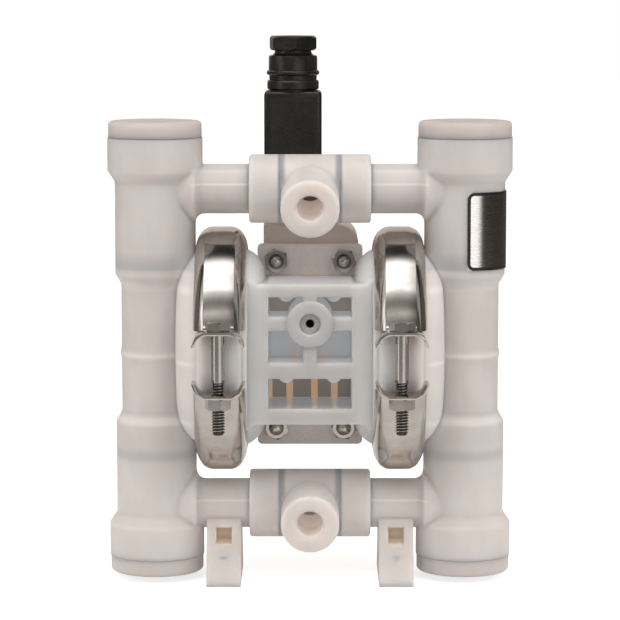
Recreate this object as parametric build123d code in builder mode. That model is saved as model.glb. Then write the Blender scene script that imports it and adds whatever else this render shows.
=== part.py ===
from build123d import *
import os

# Air operated double diaphragm pump, quarter inch ports, with clamped plastic body and solenoid air valve.
# Frame: origin on the ground under the middle of the shaft, +X along the shaft, +Z up, ports towards -Y.
# Heights of the wet end are measured from the shaft axis; shaft_height lifts them above the ground.

os.makedirs("parts", exist_ok=True)

# ---- overall layout
shaft_height = 104.5
column_x = 69.0
manifold_z = 71.0
clamp_x = 39.4

# ---- clearances
running_gap = 0.06
seat_gap = 0.2
loose_gap = 0.3

# ---- liquid chamber columns
column_r = 18.0
column_end = 93.9
collar_r = 21.2
collar_length = 14.6
collar_taper = 5.0
neck_r = 15.4
neck_half = 28.5
neck_taper = 4.5
ridge_z = -2.5
ridge_width = 3.0
ridge_rise = 0.5
column_bore_r = 13.5
neck_bore_r = 10.5
shoulder_z = 33.0
collar_bore_r = 17.0
collar_bore_depth = 11.5

# ---- manifold stubs and tees
stub_r = 11.1
stub_bore_r = 6.2
stub_flare = 4.0
spigot_r = 9.9
spigot_tip_x = 11.4
tee_r = 15.3
tee_half = 27.1
hub_r = 12.9
hub_reach = 33.0
outlet_droop = 12.0
inlet_droop = 7.0
port_r = 5.8
port_depth = 12.0
port_mouth = 1.4
port_passage_r = 4.6
oring_r = 1.1

# ---- feet
foot_inner_x = 30.8
foot_width = 15.4
foot_depth = 50.0
foot_top_depth = 21.0
foot_pocket_width = 7.0
foot_pocket_height = 7.0
foot_pocket_depth = 9.0
foot_bolt_spacing_y = 32.0
foot_bolt_r = 2.5
foot_bolt_depth = 12.0

# ---- diaphragm joint and clamp bands
rim_half = 9.65
rim_flat_half = 5.4
rim_drop = 5.1
rim_bulge = 1.1
bowl_r = 42.0
flange_width = 10.4
bowl_depth = 13.1
bowl_wall = 1.6
dome_nose = 6.5
dome_nose_r = 27.0
diaphragm_thickness = 2.0
band_sheet = 1.3
strap_sheet = 1.1
strap_width = 13.4
strap_edge = 0.3
lug_z = 13.0
lug_length = 11.0
lug_sheet = 1.5
lug_flat_half = 6.0
ear_drop = 6.5
ear_bulge = 1.6
ear_hollow = 1.1
clamp_bolt_r = 3.0
clamp_bolt_length = 45.0
stud_proud = 2.2
stud_anchor = 12.0
hex_flats = 10.0
hex_head_height = 4.0
nut_height = 5.0

# ---- end caps, check valves and balls
cap_r = 20.8
cap_height = 7.4
cap_edge = 1.8
ball_r = 6.35
ball_gap = 0.05
ball_lift = 3.5
seat_height = 8.0
seat_hole_r = 4.2
seat_cone = 2.0
cage_wall = 2.4
cage_rib = 2.0
cage_stop = 2.0

# ---- shaft, pistons and diaphragms
shaft_r = 5.0
shaft_stroke = 4.0
stud_r = 3.0
piston_r = 18.0
inner_piston_thickness = 4.0
outer_piston_thickness = 5.0
bushing_r = 7.0
bushing_length = 10.0
bushing_x = 14.0
seal_length = 2.5

# ---- centre section
block_half = 27.6
block_top = 31.0
block_front = -28.0
block_back = 9.0
trumpet_x = 20.0
trumpet_bulge = 2.0
window_half = 18.4
rail = 5.6
sill_z = -24.2
rib_low_z = -10.6
rib_high_z = -3.8
boss_z = 13.6
boss_r = 10.2
boss_proud = 1.0
boss_recess_r = 4.7
boss_recess = 2.5
boss_hole_r = 1.85
cross_rib = 5.9
shaft_tube_r = 8.8
screw_boss_x = 10.5
screw_boss_r = 3.4
screw_r = 1.5

# ---- air valve
gasket_thickness = 1.5
gasket_bar = 3.0
plate_half = 23.7
plate_top = 45.0
plate_bottom = -46.0
plate_thickness = 6.0
stud_x = 15.2
stud_z = 37.8
valve_left = -21.0
valve_right = 22.0
valve_top = 53.0
valve_bottom = -42.0
valve_depth = 41.5
valve_round = 9.0
spool_y = 34.0
spool_r = 6.0
spool_stroke = 4.0
air_port_r = 4.3
air_port_depth = 10.0
air_inlet_z = 16.0
exhaust_z = -18.0
silencer_flats = 13.0
silencer_hex = 5.0
silencer_r = 6.0
silencer_length = 14.0
silencer_round = 4.0
cover_thickness = 4.0
coil_x = -7.7
coil_width = 25.0
coil_depth = 29.0
coil_height = 34.0
coil_bottom = 66.0
stem_r = 5.0
plug_width = 26.0
plug_depth = 22.0
plug_bottom = 74.0
plug_top = 113.5
plug_gap = 2.0
gland_r = 11.6
gland_neck = 3.0
gland_ring = 4.4
gland_collar = 2.0
gland_body = 6.4
gland_waist = 2.4
gland_nut_height = 6.5
gland_nut_flats = 19.8
gland_hole_r = 3.2

# ---- rating plate
rating_z = 36.0
rating_length = 34.5
rating_sheet = 0.5
rating_edge = 0.6

# ---- sizes that follow from the ones above
collar_z = column_end - collar_length
bowl_face = clamp_x + diaphragm_thickness / 2
air_face = clamp_x - diaphragm_thickness / 2
bowl_floor = clamp_x + bowl_depth
rim_back = clamp_x + rim_half
rim_front = clamp_x - rim_half
rim_r = bowl_r + flange_width
rim_low_r = rim_r - rim_drop
band_bore_r = rim_r + seat_gap
crown_r = band_bore_r + band_sheet
band_r = crown_r + strap_sheet
band_half = rim_half + seat_gap + band_sheet + loose_gap
band_leg_r = bowl_r + bowl_wall + 1.0
lug_reach = band_r + lug_length
clamp_bolt_y = band_r + lug_length * 0.41

shaft_axis = Axis((0, 0, shaft_height), (1, 0, 0))
column_axis = Axis((column_x, 0, shaft_height), (0, 0, 1))
shaft_plane = Plane.XY.offset(shaft_height)
column_plane = Plane.XZ.shift_origin((column_x, 0, shaft_height))
top_stub_plane = Plane.XY.offset(shaft_height + manifold_z)
bottom_stub_plane = Plane.XY.offset(shaft_height - manifold_z)


def save(piece, name):
    piece.part.label = name
    export_step(piece.part, "parts/" + name + ".step")


def save_pair(piece, name):
    # The right-hand piece and its mirror image on the left.
    save(piece, name + "_right")
    with BuildPart() as twin:
        mirror(piece.part, about=Plane.YZ)
    save(twin, name + "_left")


def turned(points, plane, axis):
    # A closed outline of straight runs, turned once about an axis.
    with BuildPart() as solid:
        with BuildSketch(plane):
            with BuildLine():
                Polyline(*points, close=True)
            make_face()
        revolve(axis=axis)
    return solid.part


# ---- liquid chamber: column, domed bowl, two manifold stubs and a foot, moulded as one piece
with BuildPart() as liquid_chamber:
    with BuildSketch(column_plane):
        with BuildLine():
            Polyline(
                (0, -column_end),
                (collar_r, -column_end),
                (collar_r, -collar_z),
                (column_r, -collar_z + collar_taper),
                (column_r, -neck_half - neck_taper),
                (neck_r, -neck_half),
                (neck_r, ridge_z - ridge_width),
                (neck_r + ridge_rise, ridge_z - ridge_width / 4),
                (neck_r + ridge_rise, ridge_z + ridge_width / 4),
                (neck_r, ridge_z + ridge_width),
                (neck_r, neck_half),
                (column_r, neck_half + neck_taper),
                (column_r, collar_z - collar_taper),
                (collar_r, collar_z),
                (collar_r, column_end),
                (0, column_end),
                close=True,
            )
        make_face()
    revolve(axis=column_axis)
    # the bowl that covers the diaphragm, with the tapered rim that the clamp band grips
    with BuildSketch(shaft_plane):
        with BuildLine():
            Polyline((bowl_face, 0), (bowl_face, rim_r), (clamp_x + rim_flat_half, rim_r))
            SagittaArc((clamp_x + rim_flat_half, rim_r), (rim_back, rim_low_r), rim_bulge)
            Line((rim_back, rim_low_r), (rim_back, bowl_r + bowl_wall))
            SagittaArc(
                (rim_back, bowl_r + bowl_wall),
                (bowl_floor + dome_nose, dome_nose_r),
                (bowl_r - dome_nose_r) / 5,
            )
            Polyline(
                (bowl_floor + dome_nose, dome_nose_r),
                (bowl_floor + dome_nose + 1, 0),
                (bowl_face, 0),
            )
        make_face()
    revolve(axis=shaft_axis)
    # manifold stubs with a flared root and a thinner spigot for the tee
    for stub_plane in (top_stub_plane, bottom_stub_plane):
        stub_root = column_x - column_r
        stub_z = stub_plane.origin.Z
        with BuildSketch(stub_plane):
            with BuildLine():
                Polyline((spigot_tip_x, 0), (spigot_tip_x, spigot_r), (tee_half + seat_gap, spigot_r))
                Polyline(
                    (tee_half + seat_gap, spigot_r),
                    (tee_half + seat_gap, stub_r),
                    (stub_root - stub_flare, stub_r),
                )
                RadiusArc(
                    (stub_root - stub_flare, stub_r),
                    (stub_root, stub_r + stub_flare),
                    -stub_flare,
                )
                Polyline(
                    (stub_root, stub_r + stub_flare),
                    (column_x - 4, stub_r + stub_flare),
                    (column_x - 4, 0),
                    (spigot_tip_x, 0),
                )
            make_face()
        revolve(axis=Axis((0, 0, stub_z), (1, 0, 0)))
    # the foot, a splayed leg under the lower stub
    foot_x = foot_inner_x + foot_width / 2
    foot_top = shaft_height - manifold_z - stub_r / 2
    with BuildSketch(Plane.YZ.offset(foot_inner_x)):
        with BuildLine():
            Polyline(
                (-foot_depth / 2, 0),
                (foot_depth / 2, 0),
                (foot_top_depth / 2, foot_top),
                (-foot_top_depth / 2, foot_top),
                close=True,
            )
        make_face()
    extrude(amount=foot_width)
    # hollow inside: the bowl, the column with its counterbores, the way between them, and the stubs
    with BuildSketch(shaft_plane):
        with BuildLine():
            Polyline(
                (bowl_face, 0),
                (bowl_face, bowl_r),
                (clamp_x + bowl_depth / 2, bowl_r - 2.5),
                (bowl_floor - 1.5, (bowl_r + piston_r) / 2),
                (bowl_floor, piston_r + 1),
                (bowl_floor, 0),
                close=True,
            )
        make_face()
    revolve(axis=shaft_axis, mode=Mode.SUBTRACT)
    with BuildSketch(column_plane):
        with BuildLine():
            Polyline(
                (0, -column_end),
                (collar_bore_r, -column_end),
                (collar_bore_r, -column_end + collar_bore_depth),
                (column_bore_r, -column_end + collar_bore_depth + 2),
                (column_bore_r, -shoulder_z),
                (neck_bore_r, -shoulder_z),
                (neck_bore_r, shoulder_z),
                (column_bore_r, shoulder_z),
                (column_bore_r, column_end - collar_bore_depth - 2),
                (collar_bore_r, column_end - collar_bore_depth),
                (collar_bore_r, column_end),
                (0, column_end),
                close=True,
            )
        make_face()
    revolve(axis=column_axis, mode=Mode.SUBTRACT)
    with BuildSketch(Plane.YZ.offset(bowl_floor - 1)):
        with Locations((0, shaft_height)):
            SlotOverall(2 * shoulder_z - 24, 13, rotation=90)
    extrude(amount=column_x - bowl_floor, mode=Mode.SUBTRACT)
    for stub_plane in (top_stub_plane, bottom_stub_plane):
        stub_z = stub_plane.origin.Z
        with BuildSketch(Plane.YZ.offset(spigot_tip_x)):
            with Locations((0, stub_z)):
                Circle(stub_bore_r)
        extrude(amount=column_x - spigot_tip_x, mode=Mode.SUBTRACT)
        # O-ring groove near the tip of the spigot
        with BuildSketch(Plane.YZ.offset(spigot_tip_x + 1.2)):
            with Locations((0, stub_z)):
                Circle(spigot_r + 1)
                Circle(spigot_r - 2 * oring_r, mode=Mode.SUBTRACT)
        extrude(amount=2 * oring_r + 0.2, mode=Mode.SUBTRACT)
    # core pocket in the front of the foot, and blind screw holes in its sole
    with BuildSketch(Plane.XZ.offset(foot_depth / 2)):
        with Locations((foot_x, shaft_height - manifold_z - stub_r - foot_pocket_height / 2 + 2)):
            Rectangle(foot_pocket_width, foot_pocket_height)
    extrude(amount=-(foot_depth - foot_top_depth) / 2 - foot_pocket_depth, mode=Mode.SUBTRACT)
    with Locations(Plane.XY):
        with Locations((foot_x, -foot_bolt_spacing_y / 2, 0), (foot_x, foot_bolt_spacing_y / 2, 0)):
            Cylinder(
                foot_bolt_r,
                foot_bolt_depth,
                align=(Align.CENTER, Align.CENTER, Align.MIN),
                mode=Mode.SUBTRACT,
            )
save_pair(liquid_chamber, "liquid_chamber")

# ---- end caps, screwed into both ends of each column
plug_r = collar_bore_r - seat_gap
for end, word in ((1, "top"), (-1, "bottom")):
    with BuildPart() as end_cap:
        with BuildSketch(column_plane):
            with BuildLine():
                Polyline(
                    (0, end * (column_end - collar_bore_depth)),
                    (plug_r, end * (column_end - collar_bore_depth)),
                    (plug_r, end * (column_end - 5.5)),
                    (plug_r - 2 * oring_r, end * (column_end - 5.5)),
                    (plug_r - 2 * oring_r, end * (column_end - 2.8)),
                    (plug_r, end * (column_end - 2.8)),
                    (plug_r, end * column_end),
                    (cap_r, end * column_end),
                    (cap_r, end * (column_end + cap_height - cap_edge)),
                )
                RadiusArc(
                    (cap_r, end * (column_end + cap_height - cap_edge)),
                    (cap_r - cap_edge, end * (column_end + cap_height)),
                    -end * cap_edge,
                )
                Polyline(
                    (cap_r - cap_edge, end * (column_end + cap_height)),
                    (0, end * (column_end + cap_height)),
                    (0, end * (column_end - collar_bore_depth)),
                )
            make_face()
        revolve(axis=column_axis)
    save_pair(end_cap, "end_cap_" + word)

with BuildPart() as cap_seals:
    for side in (-1, 1):
        for end in (-1, 1):
            with Locations((side * column_x, 0, shaft_height + end * (column_end - 4.15))):
                Torus(plug_r - oring_r, oring_r)
save(cap_seals, "cap_o_rings")

# ---- check valves: a seat with a cone for the ball, and a ribbed cage that stops its lift
valve_r = column_bore_r - running_gap
bore_bottom = column_end - collar_bore_depth
outlet_seat_top = shoulder_z + seat_height
inlet_seat_top = -shoulder_z - 10.0
seat_contact = ball_r * 0.70711
ball_rise = seat_contact + (seat_contact - seat_hole_r) + ball_gap - seat_cone
window_plane = Plane.YZ.offset(column_x - column_bore_r - 1)


def valve_seat(top, foot):
    with BuildPart() as seat:
        with BuildSketch(column_plane):
            with BuildLine():
                Polyline(
                    (seat_hole_r, foot),
                    (valve_r, foot),
                    (valve_r, top),
                    (seat_hole_r + seat_cone, top),
                    (seat_hole_r, top - seat_cone),
                    close=True,
                )
            make_face()
        revolve(axis=column_axis)
        with BuildSketch(Plane.XY.offset(shaft_height + top - 4.4 - oring_r)):
            with Locations((column_x, 0)):
                Circle(valve_r + 1)
                Circle(valve_r - 2 * oring_r, mode=Mode.SUBTRACT)
        extrude(amount=2 * oring_r + 0.2, mode=Mode.SUBTRACT)
    return seat


def cage_sleeve(low, high):
    # A plain sleeve between two heights above the shaft axis.
    with BuildPart() as sleeve:
        with BuildSketch(Plane.XY.offset(shaft_height + low)):
            with Locations((column_x, 0)):
                Circle(valve_r)
                Circle(valve_r - cage_wall, mode=Mode.SUBTRACT)
        extrude(amount=high - low)
    return sleeve.part


def stop_cross(low, outer_r):
    # The crossed bars above the ball.
    with BuildPart() as cross:
        with BuildSketch(Plane.XY.offset(shaft_height + low)):
            with Locations((column_x, 0)):
                Rectangle(2 * outer_r - 1, cage_rib)
                Rectangle(cage_rib, 2 * outer_r - 1)
        extrude(amount=cage_stop)
    return cross.part


def guide_ribs(low, high, outer_r):
    with BuildPart() as ribs:
        with BuildSketch(Plane.XY.offset(shaft_height + low)):
            with Locations((column_x, 0)):
                Rectangle(2 * outer_r - 1, cage_rib)
                Rectangle(cage_rib, 2 * outer_r - 1)
                Circle(ball_r + loose_gap, mode=Mode.SUBTRACT)
        extrude(amount=high - low)
    return ribs.part


outlet_ball_z = outlet_seat_top + ball_rise
inlet_ball_z = inlet_seat_top + ball_rise
outlet_stop = outlet_ball_z + ball_r + ball_lift + loose_gap
inlet_stop = inlet_ball_z + ball_r + ball_lift + loose_gap
nose_r = neck_bore_r - seat_gap

save_pair(valve_seat(outlet_seat_top, shoulder_z), "outlet_valve_seat")

with BuildPart() as inlet_seat:
    add(valve_seat(inlet_seat_top, inlet_seat_top - seat_height).part)
    add(cage_sleeve(-bore_bottom, inlet_seat_top - seat_height))
    with BuildSketch(window_plane):
        with Locations((0, shaft_height - manifold_z)):
            Circle(stub_bore_r)
    extrude(amount=2 * cage_wall, mode=Mode.SUBTRACT)
save_pair(inlet_seat, "inlet_valve_seat")

with BuildPart() as outlet_cage:
    add(cage_sleeve(outlet_seat_top, bore_bottom))
    add(guide_ribs(outlet_seat_top, outlet_stop + cage_stop, valve_r - cage_wall + 1))
    add(stop_cross(outlet_stop, valve_r - cage_wall + 1))
    with BuildSketch(window_plane):
        with Locations((0, shaft_height + manifold_z)):
            Circle(stub_bore_r)
    extrude(amount=2 * cage_wall, mode=Mode.SUBTRACT)
save_pair(outlet_cage, "outlet_ball_cage")

with BuildPart() as inlet_cage:
    add(cage_sleeve(inlet_seat_top, -shoulder_z))
    with BuildSketch(Plane.XY.offset(shaft_height - shoulder_z - cage_rib)):
        with Locations((column_x, 0)):
            Circle(valve_r - cage_wall + 0.5)
            Circle(nose_r - cage_rib, mode=Mode.SUBTRACT)
    extrude(amount=cage_rib)
    add(guide_ribs(inlet_seat_top, inlet_stop + cage_stop, nose_r + 0.5))
    add(stop_cross(inlet_stop, nose_r + 0.5))
save_pair(inlet_cage, "inlet_ball_cage")

for name, ball_z in (("outlet_ball", outlet_ball_z), ("inlet_ball", inlet_ball_z)):
    with BuildPart() as ball:
        with Locations((column_x, 0, shaft_height + ball_z)):
            Sphere(ball_r)
    save_pair(ball, name)

with BuildPart() as seat_seals:
    for side in (-1, 1):
        for seat_top in (outlet_seat_top, inlet_seat_top):
            with Locations((side * column_x, 0, shaft_height + seat_top - 4.3)):
                Torus(valve_r - oring_r, oring_r)
save(seat_seals, "seat_o_rings")

# ---- manifold tees on the spigots, with an internally threaded port on the hub
for name, height, droop in (
    ("outlet_tee", shaft_height + manifold_z, outlet_droop),
    ("inlet_tee", shaft_height - manifold_z, inlet_droop),
):
    hub_plane = Plane(origin=(0, 0, height), x_dir=(1, 0, 0), z_dir=(0, -1, 0)).rotated((droop, 0, 0))
    with BuildPart() as tee:
        with BuildSketch(Plane.YZ.offset(-tee_half)):
            with Locations((0, height)):
                Circle(tee_r)
        extrude(amount=2 * tee_half)
        fillet(tee.edges().filter_by(GeomType.CIRCLE), 1.4)
        with BuildSketch(hub_plane):
            Circle(hub_r)
        extrude(amount=hub_reach)
        fillet(tee.edges().sort_by(Axis.Y)[0], 0.8)
        with BuildSketch(Plane.YZ.offset(-tee_half)):
            with Locations((0, height)):
                Circle(stub_bore_r)
        extrude(amount=2 * tee_half, mode=Mode.SUBTRACT)
        for side in (-1, 1):
            with BuildSketch(Plane.YZ.offset(side * (spigot_tip_x - seat_gap))):
                with Locations((0, height)):
                    Circle(spigot_r + running_gap)
            extrude(amount=side * tee_half, mode=Mode.SUBTRACT)
        with BuildSketch(hub_plane):
            Circle(port_passage_r)
        extrude(amount=hub_reach, mode=Mode.SUBTRACT)
        with BuildSketch(hub_plane.offset(hub_reach - port_depth)):
            Circle(port_r)
        extrude(amount=port_depth, mode=Mode.SUBTRACT)
        with BuildSketch(hub_plane.offset(hub_reach)):
            Circle(port_r + port_mouth)
        extrude(amount=-port_mouth, taper=45, mode=Mode.SUBTRACT)
    save(tee, name)

with BuildPart() as tee_seals:
    for side in (-1, 1):
        for height in (shaft_height + manifold_z, shaft_height - manifold_z):
            seal_plane = Plane.YZ.offset(side * (spigot_tip_x + 1.3 + oring_r))
            with Locations(seal_plane):
                with Locations((0, height)):
                    Torus(spigot_r - oring_r + running_gap / 2, oring_r)
save(tee_seals, "tee_o_rings")

# ---- clamp bands: two half rings of channel section on each side, with a strap over the crown and lugs
strap_half = strap_width / 2
strap_root = strap_half + strap_edge
leg_half = band_half - band_sheet
leg_top_r = rim_low_r + seat_gap
lug_corner = lug_z + lug_sheet
ear_half = band_half - seat_gap
ear_tip = lug_corner - ear_drop
with BuildPart() as band_ring:
    with BuildSketch(Plane(origin=(clamp_x, 0, shaft_height), x_dir=(1, 0, 0), z_dir=(0, 0, 1))):
        with BuildLine():
            Polyline(
                (leg_half, leg_top_r),
                (leg_half, band_leg_r),
                (band_half, band_leg_r),
                (band_half, leg_top_r),
            )
            SagittaArc((band_half, leg_top_r), (strap_root, crown_r), -rim_bulge)
            Polyline(
                (strap_root, crown_r),
                (strap_half, band_r - strap_edge),
                (strap_half - strap_edge, band_r),
                (-strap_half + strap_edge, band_r),
                (-strap_half, band_r - strap_edge),
                (-strap_root, crown_r),
            )
            SagittaArc((-strap_root, crown_r), (-band_half, leg_top_r), -rim_bulge)
            Polyline(
                (-band_half, leg_top_r),
                (-band_half, band_leg_r),
                (-leg_half, band_leg_r),
                (-leg_half, leg_top_r),
            )
            SagittaArc((-leg_half, leg_top_r), (-rim_flat_half, band_bore_r), rim_bulge)
            Line((-rim_flat_half, band_bore_r), (rim_flat_half, band_bore_r))
            SagittaArc((rim_flat_half, band_bore_r), (leg_half, leg_top_r), rim_bulge)
        make_face()
    revolve(axis=shaft_axis)

for word, up in (("upper", 1), ("lower", -1)):
    split_plane = Plane.XY.offset(shaft_height + up * lug_z)
    with BuildPart() as clamp_half:
        add(band_ring.part)
        split(bisect_by=split_plane, keep=Keep.TOP if up > 0 else Keep.BOTTOM)
        # the lug: the end of the half ring turned outwards, with its side walls flaring into the gap
        with BuildSketch(Plane(origin=(clamp_x, lug_reach, shaft_height), x_dir=(1, 0, 0), z_dir=(0, -1, 0))):
            with BuildLine():
                Line((-lug_flat_half, up * lug_corner), (lug_flat_half, up * lug_corner))
                SagittaArc(
                    (lug_flat_half, up * lug_corner), (ear_half, up * ear_tip), up * ear_bulge
                )
                Line((ear_half, up * ear_tip), (ear_half - lug_sheet, up * ear_tip))
                SagittaArc(
                    (ear_half - lug_sheet, up * ear_tip), (lug_flat_half, up * lug_z), -up * ear_hollow
                )
                Line((lug_flat_half, up * lug_z), (-lug_flat_half, up * lug_z))
                SagittaArc(
                    (-lug_flat_half, up * lug_z), (-ear_half + lug_sheet, up * ear_tip), -up * ear_hollow
                )
                Line((-ear_half + lug_sheet, up * ear_tip), (-ear_half, up * ear_tip))
                SagittaArc(
                    (-ear_half, up * ear_tip), (-lug_flat_half, up * lug_corner), up * ear_bulge
                )
            make_face()
        extrude(amount=2 * lug_reach)
        with BuildSketch(Plane.YZ.offset(clamp_x - band_half)):
            with Locations((0, shaft_height)):
                Circle(band_bore_r)
        extrude(amount=2 * band_half, mode=Mode.SUBTRACT)
        add(band_ring.part.split(split_plane, keep=Keep.TOP if up > 0 else Keep.BOTTOM))
        with BuildSketch(split_plane):
            with Locations((clamp_x, -clamp_bolt_y), (clamp_x, clamp_bolt_y)):
                Circle(clamp_bolt_r + seat_gap)
        extrude(amount=up * lug_sheet, mode=Mode.SUBTRACT)
    save_pair(clamp_half, "clamp_band_" + word)

with BuildPart() as clamp_bolts:
    for x in (-clamp_x, clamp_x):
        for y in (-clamp_bolt_y, clamp_bolt_y):
            head = Plane((x, y, shaft_height + lug_corner))
            with BuildSketch(head):
                RegularPolygon(hex_flats / 2, 6, major_radius=False)
            extrude(amount=hex_head_height)
            with BuildSketch(head):
                Circle(clamp_bolt_r)
            extrude(amount=-clamp_bolt_length)
save(clamp_bolts, "clamp_bolts")

with BuildPart() as clamp_nuts:
    for x in (-clamp_x, clamp_x):
        for y in (-clamp_bolt_y, clamp_bolt_y):
            with BuildSketch(Plane((x, y, shaft_height - lug_corner))):
                RegularPolygon(hex_flats / 2, 6, major_radius=False)
                Circle(clamp_bolt_r + running_gap, mode=Mode.SUBTRACT)
            extrude(amount=-nut_height)
save(clamp_nuts, "clamp_nuts")

# ---- centre section: two air chambers on an open ribbed block that carries the shaft
with BuildPart() as centre_section:
    for side in (-1, 1):
        with BuildSketch(shaft_plane):
            with BuildLine():
                Polyline(
                    (side * (trumpet_x - 4), 0),
                    (side * air_face, 0),
                    (side * air_face, rim_r),
                    (side * (clamp_x - rim_flat_half), rim_r),
                )
                SagittaArc(
                    (side * (clamp_x - rim_flat_half), rim_r),
                    (side * rim_front, rim_low_r),
                    -side * rim_bulge,
                )
                Polyline(
                    (side * rim_front, rim_low_r),
                    (side * rim_front, bowl_r + bowl_wall),
                    (side * block_half, bowl_r + bowl_wall),
                )
                SagittaArc(
                    (side * block_half, bowl_r + bowl_wall),
                    (side * trumpet_x, block_top + 1),
                    -side * trumpet_bulge,
                )
                Polyline(
                    (side * trumpet_x, block_top + 1),
                    (side * (trumpet_x - 4), block_top - 3),
                    (side * (trumpet_x - 4), 0),
                )
            make_face()
        revolve(axis=shaft_axis)
    # trim the flared backs level with the face of the block
    with BuildSketch(Plane.XZ.offset(-block_front)):
        with Locations((0, shaft_height)):
            Rectangle(2 * block_half, 2 * rim_r)
    extrude(amount=rim_r, mode=Mode.SUBTRACT)
    with BuildSketch(Plane.XZ.offset(-block_back)):
        with Locations((0, shaft_height)):
            Rectangle(2 * block_half, 2 * rim_r)
    extrude(amount=-rim_r, mode=Mode.SUBTRACT)
    with BuildSketch(Plane.XZ.offset(-block_back)):
        with Locations((0, shaft_height)):
            Rectangle(2 * block_half, 2 * block_top)
    extrude(amount=block_back - block_front)
    # the opening through the block
    with BuildSketch(Plane.XZ.offset(-block_front)):
        with BuildLine():
            Polyline(
                (-window_half, shaft_height + sill_z),
                (window_half, shaft_height + sill_z),
                (window_half, shaft_height + block_top - rail),
                (-window_half, shaft_height + block_top - rail),
                close=True,
            )
        make_face()
    extrude(amount=block_front - block_back, mode=Mode.SUBTRACT)
    # ribs, shaft tube, round boss and screw bosses inside the opening
    rib_low = shaft_height + rib_low_z
    rib_high = shaft_height + rib_high_z
    with BuildSketch(Plane.XZ.offset(-block_front)):
        with Locations((0, (rib_low + rib_high) / 2)):
            Rectangle(2 * window_half, rib_high - rib_low)
        with Locations((0, shaft_height + boss_z)):
            Rectangle(2 * window_half, cross_rib)
        with Locations((0, (rib_high + shaft_height + block_top - rail) / 2)):
            Rectangle(cross_rib, shaft_height + block_top - rail - rib_high)
    extrude(amount=block_front + shaft_tube_r / 2)
    with BuildSketch(Plane.YZ.offset(-window_half)):
        with Locations((0, shaft_height)):
            Circle(shaft_tube_r)
    extrude(amount=2 * window_half)
    with BuildSketch(Plane.XZ.offset(-block_front + boss_proud)):
        with Locations((0, shaft_height + boss_z)):
            Circle(boss_r)
    extrude(amount=block_front - boss_proud)
    with BuildSketch(Plane.XZ.offset(-block_front - 4)):
        with Locations(
            (-screw_boss_x, shaft_height + block_top - rail + 1),
            (screw_boss_x, shaft_height + block_top - rail + 1),
            (-screw_boss_x, rib_low + 1),
            (screw_boss_x, rib_low + 1),
        ):
            Circle(screw_boss_r)
    extrude(amount=block_front + 4 - block_back)
    # bores: shaft and bushings, boss recess and hole, screw holes, and the two air chambers
    with BuildSketch(Plane.YZ.offset(-air_face)):
        with Locations((0, shaft_height)):
            Circle(bushing_r)
    extrude(amount=2 * air_face, mode=Mode.SUBTRACT)
    with BuildSketch(Plane.XZ.offset(-block_front + boss_proud)):
        with Locations((0, shaft_height + boss_z)):
            Circle(boss_recess_r)
    extrude(amount=-boss_recess, mode=Mode.SUBTRACT)
    with BuildSketch(Plane.XZ.offset(-block_front + boss_proud)):
        with Locations((0, shaft_height + boss_z)):
            Circle(boss_hole_r)
    extrude(amount=block_front / 2, mode=Mode.SUBTRACT)
    with BuildSketch(Plane.XZ.offset(-block_back)):
        with Locations(
            (-screw_boss_x, shaft_height + block_top - rail + 1),
            (screw_boss_x, shaft_height + block_top - rail + 1),
            (-screw_boss_x, rib_low + 1),
            (screw_boss_x, rib_low + 1),
        ):
            Circle(screw_r)
    extrude(amount=12, mode=Mode.SUBTRACT)
    piston_floor = clamp_x - diaphragm_thickness / 2 - inner_piston_thickness - shaft_stroke - loose_gap
    for side in (-1, 1):
        with BuildSketch(shaft_plane):
            with BuildLine():
                Polyline(
                    (side * air_face, 0),
                    (side * air_face, bowl_r),
                    (side * (air_face - 3), bowl_r - 3),
                    (side * (piston_floor + 2), piston_r + 4),
                    (side * piston_floor, piston_r + 1),
                    (side * piston_floor, 0),
                    close=True,
                )
            make_face()
        revolve(axis=shaft_axis, mode=Mode.SUBTRACT)
save(centre_section, "centre_section")

# ---- shaft and what rides on it
inner_face = clamp_x - diaphragm_thickness / 2
outer_face = clamp_x + diaphragm_thickness / 2
shaft_half = inner_face - inner_piston_thickness
with BuildPart() as shaft:
    with BuildSketch(Plane.YZ.offset(-shaft_half)):
        with Locations((0, shaft_height)):
            Circle(shaft_r)
    extrude(amount=2 * shaft_half)
    with BuildSketch(Plane.YZ.offset(-outer_face - outer_piston_thickness / 2)):
        with Locations((0, shaft_height)):
            Circle(stud_r)
    extrude(amount=2 * outer_face + outer_piston_thickness)
save(shaft, "shaft")

stud_hole_r = stud_r + running_gap
with BuildPart() as inner_piston:
    add(
        turned(
            [
                (shaft_half, stud_hole_r),
                (shaft_half, piston_r - 5),
                (inner_face - 1.2, piston_r),
                (inner_face, piston_r),
                (inner_face, stud_hole_r),
            ],
            shaft_plane,
            shaft_axis,
        )
    )
save_pair(inner_piston, "inner_piston")

with BuildPart() as outer_piston:
    add(
        turned(
            [
                (outer_face, stud_hole_r),
                (outer_face, piston_r),
                (outer_face + 1.2, piston_r),
                (outer_face + outer_piston_thickness, piston_r - 7),
                (outer_face + outer_piston_thickness, 0),
                (outer_face + outer_piston_thickness / 2, 0),
                (outer_face + outer_piston_thickness / 2, stud_hole_r),
            ],
            shaft_plane,
            shaft_axis,
        )
    )
save_pair(outer_piston, "outer_piston")

with BuildPart() as diaphragm_centre:
    with BuildSketch(Plane.YZ.offset(inner_face)):
        with Locations((0, shaft_height)):
            Circle(piston_r)
            Circle(stud_hole_r, mode=Mode.SUBTRACT)
    extrude(amount=diaphragm_thickness)
save_pair(diaphragm_centre, "diaphragm_centre")

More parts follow.
